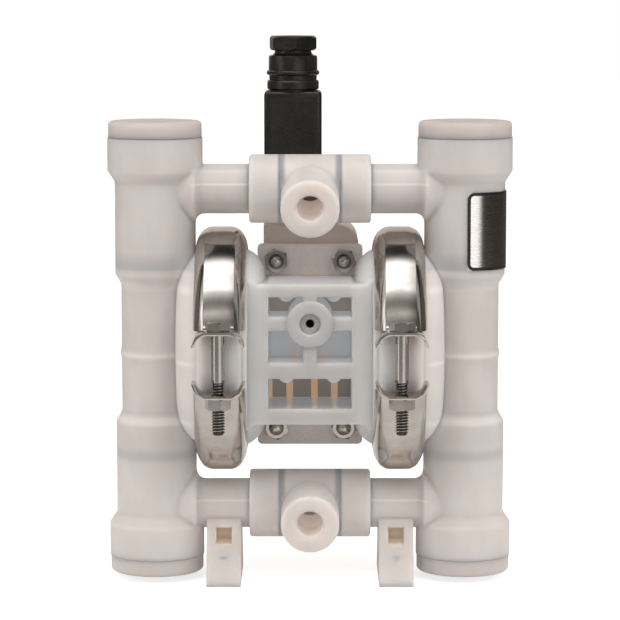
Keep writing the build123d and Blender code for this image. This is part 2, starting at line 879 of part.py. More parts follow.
with BuildPart() as diaphragm:
    add(
        turned(
            [
                (inner_face, rim_r - 0.5),
                (outer_face, rim_r - 0.5),
                (outer_face, bowl_r - 2),
                (outer_face + 1.6, (bowl_r + piston_r) / 2 + 2),
                (outer_face + 1.6, (bowl_r + piston_r) / 2 - 2),
                (outer_face, piston_r + loose_gap),
                (inner_face, piston_r + loose_gap),
                (inner_face + 1.6, (bowl_r + piston_r) / 2 - 2),
                (inner_face + 1.6, (bowl_r + piston_r) / 2 + 2),
                (inner_face, bowl_r - 2),
            ],
            shaft_plane,
            shaft_axis,
        )
    )
save_pair(diaphragm, "diaphragm")

with BuildPart() as bushings:
    for side in (-1, 1):
        with BuildSketch(Plane.YZ.offset(side * bushing_x)):
            with Locations((0, shaft_height)):
                Circle(bushing_r - running_gap / 2)
                Circle(shaft_r + running_gap, mode=Mode.SUBTRACT)
        extrude(amount=side * bushing_length)
save(bushings, "shaft_bushings")

with BuildPart() as seals:
    for side in (-1, 1):
        with BuildSketch(Plane.YZ.offset(side * (bushing_x + bushing_length))):
            with Locations((0, shaft_height)):
                Circle(bushing_r - running_gap / 2)
                Circle(shaft_r + running_gap, mode=Mode.SUBTRACT)
        extrude(amount=side * seal_length)
save(seals, "shaft_seals")

# ---- air valve gasket and adapter plate on the back of the block
gasket_plane = Plane.XZ.offset(-block_back)
plate_plane = Plane.XZ.offset(-block_back - gasket_thickness)
valve_plane = Plane.XZ.offset(-block_back - gasket_thickness - plate_thickness)
plate_screws = [
    (-screw_boss_x, shaft_height + block_top - rail + 1),
    (screw_boss_x, shaft_height + block_top - rail + 1),
    (-screw_boss_x, rib_low + 1),
    (screw_boss_x, rib_low + 1),
]
valve_studs = [
    (-stud_x, shaft_height - stud_z),
    (stud_x, shaft_height - stud_z),
    (-stud_x, shaft_height + stud_z),
    (stud_x, shaft_height + stud_z),
]
gasket_bars = (-18.5, -9.2, 2.0, 11.0)
gasket_low = shaft_height + sill_z
gasket_high = shaft_height + rib_low_z
with BuildPart() as valve_gasket:
    with BuildSketch(gasket_plane):
        with Locations((0, shaft_height)):
            Rectangle(2 * block_half, 2 * block_top)
        with Locations((0, (gasket_low + gasket_high) / 2)):
            Rectangle(2 * window_half + 2, gasket_high - gasket_low + 3, mode=Mode.SUBTRACT)
        with Locations((0, shaft_height + boss_z + 6)):
            Rectangle(2 * window_half + 2, rail + 4, mode=Mode.SUBTRACT)
        for bar_x in gasket_bars:
            with Locations((bar_x, (gasket_low + gasket_high) / 2)):
                Rectangle(gasket_bar, gasket_high - gasket_low + 4)
        with Locations(*plate_screws):
            Circle(screw_r + seat_gap, mode=Mode.SUBTRACT)
    extrude(amount=-gasket_thickness)
save(valve_gasket, "valve_gasket")

with BuildPart() as adapter_plate:
    with BuildSketch(plate_plane):
        with Locations((0, shaft_height + (plate_top + plate_bottom) / 2)):
            RectangleRounded(2 * plate_half, plate_top - plate_bottom, 2)
        with Locations(*plate_screws):
            Circle(screw_r + seat_gap, mode=Mode.SUBTRACT)
        with Locations(*valve_studs):
            Circle(clamp_bolt_r + seat_gap, mode=Mode.SUBTRACT)
    extrude(amount=-plate_thickness)
    with BuildSketch(valve_plane):
        with Locations(*plate_screws):
            Circle(screw_r + 1.4)
    extrude(amount=2.2, mode=Mode.SUBTRACT)
save(adapter_plate, "adapter_plate")

with BuildPart() as adapter_screws:
    with BuildSketch(valve_plane.offset(2.2)):
        with Locations(*plate_screws):
            Circle(screw_r + 1.2)
    extrude(amount=-2.0)
    with BuildSketch(valve_plane.offset(2.2)):
        with Locations(*plate_screws):
            Circle(screw_r - running_gap / 2)
    extrude(amount=14)
save(adapter_screws, "adapter_screws")

with BuildPart() as stud_set:
    with BuildSketch(plate_plane.offset(nut_height + stud_proud)):
        with Locations(*valve_studs):
            Circle(clamp_bolt_r)
    extrude(amount=-(nut_height + stud_proud + plate_thickness + stud_anchor))
    fillet(stud_set.faces().sort_by(Axis.Y)[:4].edges(), 1.2)
save(stud_set, "valve_studs")

with BuildPart() as stud_nuts:
    with BuildSketch(plate_plane):
        with Locations(*valve_studs):
            RegularPolygon(hex_flats / 2, 6, major_radius=False, rotation=30)
            Circle(clamp_bolt_r + running_gap, mode=Mode.SUBTRACT)
    extrude(amount=nut_height)
save(stud_nuts, "valve_nuts")

# ---- solenoid air valve: body with a vertical spool, pilot head, coil on its stem, plug and cable gland
valve_front_y = block_back + gasket_thickness + plate_thickness
valve_back_y = valve_front_y + valve_depth
valve_mid_x = (valve_left + valve_right) / 2
valve_mid_y = (valve_front_y + valve_back_y) / 2
spool_top = shaft_height + valve_top - 6
spool_bottom = shaft_height + valve_bottom
with BuildPart() as valve_body:
    with BuildSketch(valve_plane):
        with BuildLine():
            Polyline(
                (valve_left, shaft_height + valve_bottom),
                (valve_right, shaft_height + valve_bottom),
                (valve_right, shaft_height + valve_top - valve_round),
            )
            RadiusArc(
                (valve_right, shaft_height + valve_top - valve_round),
                (valve_right - valve_round, shaft_height + valve_top),
                -valve_round,
            )
            Polyline(
                (valve_right - valve_round, shaft_height + valve_top),
                (valve_left, shaft_height + valve_top),
                (valve_left, shaft_height + valve_bottom),
            )
        make_face()
    extrude(amount=-valve_depth)
    chamfer(valve_body.edges().filter_by(Axis.Z).group_by(Axis.Y)[-1], 2)
    # spool bore, open at the bottom, and blind holes for the studs
    with BuildSketch(Plane.XY.offset(spool_bottom)):
        with Locations((0, spool_y)):
            Circle(spool_r)
    extrude(amount=spool_top - spool_bottom, mode=Mode.SUBTRACT)
    with BuildSketch(valve_plane):
        with Locations(*valve_studs):
            Circle(clamp_bolt_r + running_gap)
    extrude(amount=-stud_anchor - seat_gap, mode=Mode.SUBTRACT)
    # air inlet and exhaust port, one above the other in the back
    with BuildSketch(Plane.XZ.offset(-valve_back_y)):
        with Locations((0, shaft_height + air_inlet_z), (0, shaft_height + exhaust_z)):
            Circle(air_port_r)
    extrude(amount=air_port_depth, mode=Mode.SUBTRACT)
save(valve_body, "valve_body")

with BuildPart() as spool:
    spool_rest = spool_bottom + 2
    spool_length = spool_top - spool_rest - spool_stroke - loose_gap
    with BuildSketch(Plane.XY.offset(spool_rest)):
        with Locations((0, spool_y)):
            Circle(spool_r - running_gap)
    extrude(amount=spool_length)
    for share in (0.2, 0.5, 0.8):
        with BuildSketch(Plane.XY.offset(spool_rest + share * spool_length - 5)):
            with Locations((0, spool_y)):
                Circle(spool_r + 1)
                Circle(spool_r - 2, mode=Mode.SUBTRACT)
        extrude(amount=10, mode=Mode.SUBTRACT)
save(spool, "valve_spool")

with BuildPart() as end_cover:
    with BuildSketch(Plane.XY.offset(spool_bottom)):
        with Locations((valve_mid_x, valve_mid_y)):
            RectangleRounded(valve_right - valve_left - 2, valve_depth - 2, 3)
    extrude(amount=-cover_thickness)
    with BuildSketch(Plane.XY.offset(spool_bottom)):
        with Locations((0, spool_y)):
            Circle(spool_r - running_gap)
    extrude(amount=2 - running_gap)
save(end_cover, "valve_end_cover")

plug_front_y = tee_r + plug_gap
plug_back_y = plug_front_y + plug_depth
coil_mid_y = plug_back_y + coil_depth / 2
pilot_top = shaft_height + coil_bottom
with BuildPart() as pilot_head:
    with BuildSketch(Plane.XY.offset(shaft_height + valve_top)):
        with BuildLine():
            Polyline(
                (valve_left, plug_front_y + 8),
                (valve_right - valve_round, plug_front_y + 8),
                (valve_right - valve_round, valve_back_y - 2),
                (coil_x + coil_width / 2, coil_mid_y + coil_depth / 2),
                (valve_left, coil_mid_y + coil_depth / 2),
                close=True,
            )
        make_face()
    extrude(amount=pilot_top - shaft_height - valve_top)
    with BuildSketch(Plane.XY.offset(pilot_top)):
        with Locations((coil_x, coil_mid_y)):
            Circle(stem_r)
    extrude(amount=coil_height + 6)
    # bore for the manual override button in the right side of the head
    with BuildSketch(Plane.YZ.offset(valve_right - valve_round)):
        with Locations((valve_mid_y, (pilot_top + shaft_height + valve_top) / 2)):
            Circle(2.5)
    extrude(amount=-7, mode=Mode.SUBTRACT)
save(pilot_head, "pilot_head")

with BuildPart() as button:
    with BuildSketch(Plane.YZ.offset(valve_right - valve_round - 5)):
        with Locations((valve_mid_y, (pilot_top + shaft_height + valve_top) / 2)):
            Circle(2.5 - running_gap)
    extrude(amount=6.2)
save(button, "override_button")

with BuildPart() as coil:
    with BuildSketch(Plane.XY.offset(pilot_top)):
        with Locations((coil_x, coil_mid_y)):
            RectangleRounded(coil_width, coil_depth, 2.5)
            Circle(stem_r + seat_gap, mode=Mode.SUBTRACT)
    extrude(amount=coil_height)
save(coil, "solenoid_coil")

with BuildPart() as coil_nut:
    with BuildSketch(Plane.XY.offset(pilot_top + coil_height)):
        with Locations((coil_x, coil_mid_y)):
            RegularPolygon(8.0, 6, major_radius=False)
            Circle(stem_r + running_gap, mode=Mode.SUBTRACT)
    extrude(amount=5)
save(coil_nut, "coil_nut")

plug_mid_y = (plug_front_y + plug_back_y) / 2
plug_z = shaft_height + plug_top
with BuildPart() as plug_housing:
    with BuildSketch(Plane.XZ.offset(-plug_front_y)):
        with Locations((coil_x, shaft_height + (plug_bottom + plug_top) / 2)):
            RectangleRounded(plug_width, plug_top - plug_bottom, 2.4)
    extrude(amount=-plug_depth + 1.5)
    with BuildSketch(Plane.XZ.offset(-plug_back_y + 1.5)):
        with Locations((coil_x, shaft_height + (plug_bottom + plug_top) / 2)):
            RectangleRounded(plug_width - 3, plug_top - plug_bottom - 3, 1.5)
    extrude(amount=-0.5)
    # round neck with ribs for the cable gland
    with BuildSketch(Plane.XY.offset(plug_z)):
        with Locations((coil_x, plug_mid_y)):
            Circle(gland_r)
    extrude(amount=gland_ring)
save(plug_housing, "connector_housing")

with BuildPart() as plug_gasket:
    with BuildSketch(Plane.XZ.offset(-plug_back_y + 1.0)):
        with Locations((coil_x, shaft_height + (plug_bottom + plug_top) / 2)):
            RectangleRounded(plug_width - 1.5, plug_top - plug_bottom - 1.5, 1.5)
    extrude(amount=-1.0)
save(plug_gasket, "connector_gasket")

gland_plane = Plane(origin=(coil_x, plug_mid_y, plug_z + gland_ring), z_dir=(0, 0, 1))
collar_top = gland_neck + gland_collar
body_top = collar_top + gland_body
with BuildPart() as gland:
    with BuildSketch(gland_plane):
        Circle(gland_r - 1.6)
    extrude(amount=body_top + gland_waist)
    for low, high in ((0.8, gland_neck), (gland_neck + 0.8, collar_top), (collar_top + 0.8, body_top)):
        with BuildSketch(gland_plane.offset(low)):
            Circle(gland_r)
        extrude(amount=high - low)
    with BuildSketch(gland_plane):
        Circle(gland_hole_r + 0.6)
    extrude(amount=body_top + gland_waist, mode=Mode.SUBTRACT)
save(gland, "gland_body")

with BuildPart() as gland_nut:
    with BuildSketch(gland_plane.offset(body_top + gland_waist)):
        RegularPolygon(gland_nut_flats / 2, 6, major_radius=False, rotation=30)
        Circle(gland_hole_r, mode=Mode.SUBTRACT)
    extrude(amount=gland_nut_height)
save(gland_nut, "gland_nut")

# ---- silencer on the exhaust port
with BuildPart() as silencer:
    with BuildSketch(Plane.XZ.offset(-valve_back_y)):
        with Locations((0, shaft_height + exhaust_z)):
            RegularPolygon(silencer_flats / 2, 6, major_radius=False)
    extrude(amount=-silencer_hex)
    with BuildSketch(Plane.XZ.offset(-valve_back_y - silencer_hex)):
        with Locations((0, shaft_height + exhaust_z)):
            Circle(silencer_r)
    extrude(amount=-silencer_length)
    fillet(silencer.faces().sort_by(Axis.Y)[-1].edges(), silencer_round)
    with BuildSketch(Plane.XZ.offset(-valve_back_y)):
        with Locations((0, shaft_height + exhaust_z)):
            Circle(air_port_r - running_gap)
    extrude(amount=air_port_depth - 2)
save(silencer, "silencer")

# ---- bare rating plate, wrapped round the front and outer side of the right-hand column
with BuildPart() as rating_plate:
    with BuildSketch(Plane.XY.offset(shaft_height + rating_z)):
        with Locations((column_x, 0)):
            Circle(column_r + running_gap + rating_sheet)
            Circle(column_r + running_gap, mode=Mode.SUBTRACT)
    extrude(amount=rating_length)
    with BuildSketch(Plane.XY.offset(shaft_height + rating_z)):
        with BuildLine():
            Polyline(
                (column_x + rating_edge, -2 * column_r),
                (column_x + 2 * column_r, -2 * column_r),
                (column_x + 2 * column_r, column_r * 0.7),
                (column_x, 0),
                (column_x + rating_edge, -2 * column_r),
            )
        make_face()
    extrude(amount=rating_length, mode=Mode.INTERSECT)
save(rating_plate, "rating_plate")
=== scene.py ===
import math

import bmesh
import bpy
from mathutils import Matrix, Vector


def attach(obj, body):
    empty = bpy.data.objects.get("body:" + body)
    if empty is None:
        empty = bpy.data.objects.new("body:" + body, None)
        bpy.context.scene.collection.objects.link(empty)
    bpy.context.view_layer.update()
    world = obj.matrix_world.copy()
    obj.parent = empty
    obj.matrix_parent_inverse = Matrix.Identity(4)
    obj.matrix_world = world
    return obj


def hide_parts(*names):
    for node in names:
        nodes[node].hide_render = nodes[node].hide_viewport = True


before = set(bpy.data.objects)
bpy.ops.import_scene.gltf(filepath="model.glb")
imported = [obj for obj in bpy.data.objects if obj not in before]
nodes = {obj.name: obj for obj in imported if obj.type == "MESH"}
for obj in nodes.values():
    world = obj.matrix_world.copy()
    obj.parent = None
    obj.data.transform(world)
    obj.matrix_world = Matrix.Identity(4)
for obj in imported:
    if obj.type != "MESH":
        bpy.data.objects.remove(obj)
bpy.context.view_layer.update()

# ---- studio: camera, soft light and a plain pale floor
# The pump stands on a white sheet, lit by one broad soft panel above the front and two
# weaker side panels. Polished steel mirrors a dim room with a white wall and two strip lamps.
scene = bpy.context.scene
scene.view_settings.view_transform = "Standard"

# Height of the shaft's axis in metres. Shapes and paint are in millimetres from this axis.
SHAFT = 0.1045
VIEW_TILT = math.radians(7.5)
VIEW_DISTANCE = 1.275
VIEW_AIM = Vector((0, 0, 0.121))
WHITE = (1, 1, 1, 1)

camera_data = bpy.data.cameras.new("camera")
camera_data.lens = 165
camera_data.sensor_width = 36
camera = bpy.data.objects.new("camera", camera_data)
camera.location = (
    0,
    -VIEW_DISTANCE * math.cos(VIEW_TILT),
    SHAFT + VIEW_DISTANCE * math.sin(VIEW_TILT),
)
camera.rotation_euler = (VIEW_AIM - camera.location).to_track_quat("-Z", "Y").to_euler()
scene.collection.objects.link(camera)
scene.camera = camera


def soft_panel(name, place, size, watts, tint):
    data = bpy.data.lights.new(name, "AREA")
    data.shape = "RECTANGLE"
    data.size, data.size_y = size
    data.energy = watts
    data.color = tint
    panel = bpy.data.objects.new(name, data)
    panel.location = place
    aim = Vector((0, 0, SHAFT)) - Vector(place)
    panel.rotation_euler = aim.to_track_quat("-Z", "Y").to_euler()
    panel.visible_glossy = False
    scene.collection.objects.link(panel)


soft_panel("panel_top", (0, -0.55, 1.05), size=(1.3, 0.8), watts=9.0, tint=(1.0, 0.985, 0.97))
soft_panel("panel_left", (-1.1, -0.5, 0.35), size=(0.5, 1.1), watts=3.4, tint=(1.0, 0.99, 0.98))
soft_panel("panel_right", (1.1, -0.5, 0.35), size=(0.5, 1.1), watts=4.1, tint=(0.985, 0.99, 1.0))


class Shade:
    """A socket of a shader node. Python operators on it add Math nodes."""

    def __init__(self, socket):
        self.socket = socket

    def node(self, kind, settings=None, inputs=None, output=0):
        tree = self.socket.id_data
        made = tree.nodes.new(kind)
        settings = dict(settings or {})
        stops = settings.pop("stops", None)
        for key, value in settings.items():
            setattr(made, key, value)
        if stops:
            elements = made.color_ramp.elements
            while len(elements) < len(stops):
                elements.new(0.5)
            for element, (position, color) in zip(elements, stops):
                element.position = position
                element.color = color
        for key, value in (inputs or {}).items():
            if isinstance(value, Shade):
                tree.links.new(value.socket, made.inputs[key])
            else:
                made.inputs[key].default_value = value
        return Shade(made.outputs[output])

    def math(self, operation, first, second=0.0):
        return self.node("ShaderNodeMath", {"operation": operation}, {0: first, 1: second})

    def __add__(self, other):
        return self.math("ADD", self, other)

    __radd__ = __add__

    def __sub__(self, other):
        return self.math("SUBTRACT", self, other)

    def __rsub__(self, other):
        return self.math("SUBTRACT", other, self)

    def __mul__(self, other):
        return self.math("MULTIPLY", self, other)

    __rmul__ = __mul__

    def __abs__(self):
        return self.math("ABSOLUTE", self)


def axes(point):
    return [point.node("ShaderNodeSeparateXYZ", None, {0: point}, output=i) for i in range(3)]


def ramp(value, low, high, start=0.0, end=1.0):
    """A smooth step of value from start at low to end at high."""
    return value.node(
        "ShaderNodeMapRange",
        {"interpolation_type": "SMOOTHSTEP"},
        {0: value, 1: low, 2: high, 3: start, 4: end},
    )


def below(value, low, high):
    """1 where value is under low, falling softly to 0 at high."""
    return ramp(value, low, high, 1.0, 0.0)


def mixed(first, second, amount, blend="MIX"):
    """The first colour, turned into the second, or blended with it, by that amount."""
    return (amount if isinstance(amount, Shade) else first).node(
        "ShaderNodeMix",
        {"data_type": "RGBA", "blend_type": blend},
        {0: amount, 6: first, 7: second},
        output=2,
    )


def color_ramp(value, *stops):
    return value.node("ShaderNodeValToRGB", {"stops": stops}, {0: value})


def grey(level):
    return (level, level, level, 1)


def ray_kinds(tree):
    """1 on rays from the camera, through clear things, and off mirrors."""
    path = tree.nodes.new("ShaderNodeLightPath")
    return [Shade(path.outputs[f"Is {kind} Ray"]) for kind in ("Camera", "Transmission", "Glossy")]


def set_shader(shader, values):
    for key, value in values.items():
        if isinstance(value, Shade):
            value.socket.id_data.links.new(value.socket, shader.inputs[key])
        else:
            shader.inputs[key].default_value = value


def strip(way, *edges):
    """An upright strip of light: four edges from left to right, dark, full, full and dark."""
    return color_ramp(way * 0.5 + 0.5, *((edge, grey(level)) for edge, level in zip(edges, (0, 1, 1, 0))))


def lamps(way, far_left, near_right):
    """Two upright strips of light beside the camera, seen only in mirrored rays."""
    left = strip(way, 0.02, 0.05, 0.09, 0.13)
    right = strip(way, 0.56, 0.60, 0.83, 0.91)
    return left * far_left + right * near_right


world = bpy.data.worlds.new("studio")
scene.world = world
world.use_nodes = True
world_tree = world.node_tree
camera_ray, clear_ray, mirror_ray = ray_kinds(world_tree)
way_x, way_y, way_z = axes(Shade(world_tree.nodes.new("ShaderNodeTexCoord").outputs["Generated"]))
rise = way_z.math("ARCTAN2", way_z, way_y * -1) * (1 / math.pi)
up_the_room = color_ramp(
    rise,
    (0.00, (0.13, 0.115, 0.105, 1)),
    (0.14, (0.12, 0.11, 0.10, 1)),
    (0.18, (0.19, 0.18, 0.17, 1)),
    (0.215, (0.38, 0.37, 0.36, 1)),
    (0.25, (0.15, 0.145, 0.14, 1)),
    (0.28, (0.12, 0.115, 0.11, 1)),
    (0.33, (0.45, 0.44, 0.43, 1)),
    (0.35, WHITE),
    (0.51, WHITE),
    (0.56, (0.10, 0.095, 0.09, 1)),
    (0.59, (0.03, 0.028, 0.026, 1)),
    (0.64, (0.04, 0.037, 0.035, 1)),
    (0.69, (0.30, 0.27, 0.245, 1)),
    (1.00, (0.28, 0.25, 0.23, 1)),
)
across_the_room = color_ramp(
    way_x * 0.5 + 0.5,
    (0.00, grey(0.25)),
    (0.15, grey(0.30)),
    (0.28, grey(1.0)),
    (0.58, grey(0.9)),
    (0.72, grey(0.22)),
    (1.00, grey(0.16)),
)
room = up_the_room.node(
    "ShaderNodeVectorMath", {"operation": "SCALE"}, {0: up_the_room, "Scale": across_the_room * 2.5}
)
lit = lamps(way_x, below(abs(rise - 0.08), 0.26, 0.34) * 1.4, below(abs(rise), 0.06, 0.14))
air = mixed((0.52, 0.49, 0.46, 1), mixed(room, lit, 1.0, "ADD"), mirror_ray)
air = mixed(air, WHITE, camera_ray.math("MAXIMUM", camera_ray, clear_ray))
set_shader(world_tree.nodes["Background"], {"Color": air, "Strength": 1.0})

floor_mesh = bmesh.new()
bmesh.ops.create_circle(floor_mesh, cap_ends=True, segments=96, radius=6.0)
floor_data = bpy.data.meshes.new("floor")
floor_mesh.to_mesh(floor_data)
floor_mesh.free()
floor = bpy.data.objects.new("floor", floor_data)
scene.collection.objects.link(floor)

floor_finish = bpy.data.materials.new("floor_white")
floor_finish.use_nodes = True
floor_tree = floor_finish.node_tree
floor_shader = floor_tree.nodes["Principled BSDF"]
floor_seen, _, floor_mirrored = ray_kinds(floor_tree)
floor_glow = floor_seen.node("ShaderNodeEmission", None, {"Color": WHITE, "Strength": floor_seen * 0.68})
floor_sum = floor_seen.node(
    "ShaderNodeAddShader", None, {0: Shade(floor_shader.outputs["BSDF"]), 1: floor_glow}
)
floor_place = Shade(floor_tree.nodes.new("ShaderNodeTexCoord").outputs["Object"])
floor_reach = floor_place.node("ShaderNodeVectorMath", {"operation": "LENGTH"}, {0: floor_place}, output=1)
floor_x, floor_y, _ = axes(floor_place)
in_front = below(floor_y, -0.2, 0.0)
floor_lit = lamps(floor_x.math("DIVIDE", floor_x, floor_reach), in_front * 0.9, in_front * 0.75)
floor_far = mixed((0.10, 0.088, 0.08, 1), WHITE, floor_lit)
far_away = ramp(floor_reach, 0.35, 0.75, 0.0, 0.85)
floor_color = mixed(grey(0.8), floor_far, far_away * floor_mirrored)
set_shader(floor_shader, {"Base Color": floor_color, "Roughness": 0.9})
floor_tree.links.new(floor_sum.socket, floor_tree.nodes["Material Output"].inputs["Surface"])
floor_data.materials.append(floor_finish)


# ---- liquid chambers, end caps and feet
# Each side is one thick column with a diaphragm bowl on its inner face, moulded in natural polypropylene. The
# steps of the bore inside are painted on the milky wall as faint cool shadows.
def new_finish(name):
    """A material, its shader, and the point on the piece in millimetres from the shaft."""
    finish = bpy.data.materials.new(name)
    finish.use_nodes = True
    tree = finish.node_tree
    place = Shade(tree.nodes.new("ShaderNodeTexCoord").outputs["Object"])
    point = place.node(
        "ShaderNodeMapping",
        {"vector_type": "POINT"},
        {"Vector": place, "Location": (0, 0, -1000 * SHAFT), "Scale": (1000, 1000, 1000)},
    )
    return finish, tree.nodes["Principled BSDF"], point


def noise(point, size, detail=3.0, stretch=(1, 1, 1)):
    """Noise between 0 and 1 whose lumps are about that size in millimetres."""
    laid = point.node("ShaderNodeMapping", {"vector_type": "POINT"}, {"Vector": point, "Scale": stretch})
    return point.node("ShaderNodeTexNoise", None, {"Vector": laid, "Scale": 1 / size, "Detail": detail})


def span(value, rising, falling):
    """1 between the pair rising and the pair falling, and 0 outside them."""
    return ramp(value, *rising) * below(value, *falling)


def band(value, half_width):
    """1 where value is 0, falling softly to 0 at half_width on either side."""
    return below(abs(value), 0.0, half_width)


def distance(first, second):
    """How far a point is from the line where both values are 0."""
    square = first * first + second * second
    return square.math("SQRT", square)


def painted(skin, *coats):
    """The skin under its coats: each is a colour, and a place that is 1 where it lies."""
    for color, place in coats:
        skin = mixed(skin, color, place)
    return skin


def bump(height, depth, normal=None):
    """Bump of that depth in millimetres, from a height between 0 and 1."""
    inputs = {"Height": height, "Strength": 1.0, "Distance": depth / 1000}
    if normal:
        inputs["Normal"] = normal
    return height.node("ShaderNodeBump", None, inputs)


def milky_plastic(name, color, deep):
    """Natural polypropylene: a soft satin skin over a cloudy wall that light soaks into."""
    finish, shader, point = new_finish(name)
    cloud = noise(point, 26, 2.0)
    flow = noise(point, 9, 3.0, (1, 1, 0.35))
    skin = mixed(color, deep, ramp(cloud * 0.6 + flow * 0.4, 0.38, 0.66))
    pores = noise(point, 0.5, 2.0)
    eased_edges = point.node("ShaderNodeBevel", {"samples": 6}, {"Radius": 0.0035})
    set_shader(
        shader,
        {
            "Roughness": ramp(flow, 0.3, 0.7, 0.33, 0.45),
            "Normal": bump(pores + flow * 2.0, 0.03, eased_edges),
            "Subsurface Weight": 1.0,
            "Subsurface Radius": (1.0, 0.86, 0.76),
            "Subsurface Scale": 0.012,
            "IOR": 1.49,
        },
    )
    return finish, shader, point, skin


def painted_glow(shader, *hollows):
    """A painted glow in place of the light that soaks through the wall into each hollow, given as coats are.
    """
    set_shader(shader, {"Emission Color": painted((0, 0, 0, 1), *hollows), "Emission Strength": 1.0})


def dress(finish, *names):
    for name in names:
        nodes[name].data.materials.clear()
        nodes[name].data.materials.append(finish)


COOL_SHADOW = (0.34, 0.365, 0.40, 1)
# Colour of the painted highlights on the milky plastic.
MILK_HIGHLIGHT = (0.78, 0.75, 0.73, 1)
CAP_JOINT_Z = 93.9
FOOT_X = 38.5
FOOT_SCREW_Z = -93.3

body_finish, body_shader, body_point, body_skin = milky_plastic(
    "body_plastic", (0.620, 0.578, 0.560, 1), (0.575, 0.535, 0.515, 1)
)
# Paint is placed on a piece in millimetres: x to the right, y to the back, z up.
body_x, body_y, body_z = axes(body_point)
outward = abs(body_x)
off_foot = outward - FOOT_X
on_column = ramp(outward, 46.4, 47.0)
past_bowl = ramp(outward, 49.0, 54.0)
# Painted shadows of the bore's inner steps, seen through the wall.
bore_step_shadows = span(body_z, (34.8, 36.6), (37.5, 45.0)) * 0.6 + band(body_z + 47.2, 4.2) * 0.5
cap_lines = band(abs(body_z) - CAP_JOINT_Z, 0.55)
# Painted shade on the walls of the end caps.
cap_face_shade = ramp(abs(body_z), 94.4, 94.9) * 0.45 + ramp(abs(body_z), 98.5, 101.0) * 0.4
# Painted highlight rings on the columns' shoulders, and painted highlight lines along the stubs.
shoulders = sum(band(body_z - at, spread) for at, spread in ((28.5, 3.0), (-2.5, 1.9), (-31.5, 3.0)))
stub_highlights = band(body_z - 73.6, 0.9) + band(body_z - 79.5, 1.5) * 0.6 + band(body_z + 68.0, 0.9)
stub_highlights = stub_highlights * below(outward, 50.0, 54.0) * below(body_y, -8.0, -6.0)
pocket = below(abs(off_foot), 3.55, 3.62) * span(body_z, (-87.3, -87.2), (-80.05, -79.95))
pocket = pocket * below(body_y, 0.0, 2.0)
body_skin = painted(
    body_skin,
    (MILK_HIGHLIGHT, shoulders * past_bowl * 0.55),
    (MILK_HIGHLIGHT, stub_highlights * 0.7),
    (COOL_SHADOW, bore_step_shadows * past_bowl),
    ((0.30, 0.30, 0.32, 1), cap_lines * on_column * 0.8),
    ((0.42, 0.385, 0.365, 1), cap_face_shade * on_column),
    ((0.58, 0.49, 0.39, 1), pocket),
)
set_shader(body_shader, {"Base Color": body_skin})
# Painted glow in place of light soaking through the milky wall: in the crease beside each bowl, over the
# lower half, in the hollow under each stub, in the foot pockets and over the thin wall in front of each foot
# screw.
beside_bowl = span(outward, (44.0, 50.0), (53.0, 64.0)) * below(abs(body_z + 4.0), 38.0, 58.0)
beside_bowl = beside_bowl * below(body_y, -4.0, 0.0)
lower_half = below(body_z, -75.0, -35.0)
under_stub = span(body_z, (55.0, 59.0), (59.0, 66.0)) * below(outward, 50.0, 56.0)
thin_wall = below(distance(off_foot * 0.8, body_z - FOOT_SCREW_Z), 0.2, 2.8) * ramp(abs(body_y), 16.0, 17.0)
painted_glow(
    body_shader,
    ((0.09, 0.084, 0.08, 1), beside_bowl),
    ((0.075, 0.071, 0.069, 1), lower_half * (1.0 - beside_bowl)),
    ((0.10, 0.085, 0.072, 1), under_stub),
    ((0.17, 0.145, 0.115, 1), pocket * ramp(body_z, -87.0, -80.0, 1.0, 0.4)),
    ((0.14, 0.136, 0.132, 1), thin_wall),
)
for side in ("left", "right"):
    dress(body_finish, f"liquid_chamber_{side}", f"end_cap_top_{side}", f"end_cap_bottom_{side}")


# ---- check valves and o-rings inside the columns
# White balls sit on moulded seats and are held by ribbed cages. The rings are black rubber
# cord, turned and vulcanised, each pressed in its groove.
def grain_on(shader, point, color, dark, size, roughness, depth, metallic=0.0, stretch=(1, 1, 1)):
    """Colour and gloss that drift with a grain of that size in millimetres. Gives the skin."""
    coarse = noise(point, size * 12, 2.0)
    grain = noise(point, size, 3.0, stretch)
    skin = mixed(color, dark, ramp(coarse * 0.5 + grain * 0.5, 0.35, 0.68))
    set_shader(
        shader,
        {
            "Base Color": skin,
            "Roughness": ramp(grain, 0.25, 0.75, roughness * 0.85, roughness * 1.15),
            "Normal": bump(grain, depth),
            "Metallic": metallic,
        },
    )
    return skin


def grained(name, color, dark, size, **look):
    """A finish that is nothing but one grain."""
    finish, shader, point = new_finish(name)
    grain_on(shader, point, color, dark, size, **look)
    return finish


valve_plastic = grained(
    "valve_plastic", (0.66, 0.65, 0.62, 1), (0.60, 0.59, 0.56, 1), size=0.8, roughness=0.4, depth=0.02
)
ball_finish = grained(
    "ball_ptfe", (0.82, 0.82, 0.80, 1), (0.76, 0.76, 0.74, 1), size=0.5, roughness=0.3, depth=0.01
)
seal_rubber = grained(
    "seal_rubber", (0.02, 0.02, 0.022, 1), (0.03, 0.03, 0.032, 1), size=0.4, roughness=0.55, depth=0.02
)
for level in ("inlet", "outlet"):
    for side in ("left", "right"):
        dress(valve_plastic, f"{level}_valve_seat_{side}", f"{level}_ball_cage_{side}")
        dress(ball_finish, f"{level}_ball_{side}")
dress(seal_rubber, "cap_o_rings", "seat_o_rings", "tee_o_rings")
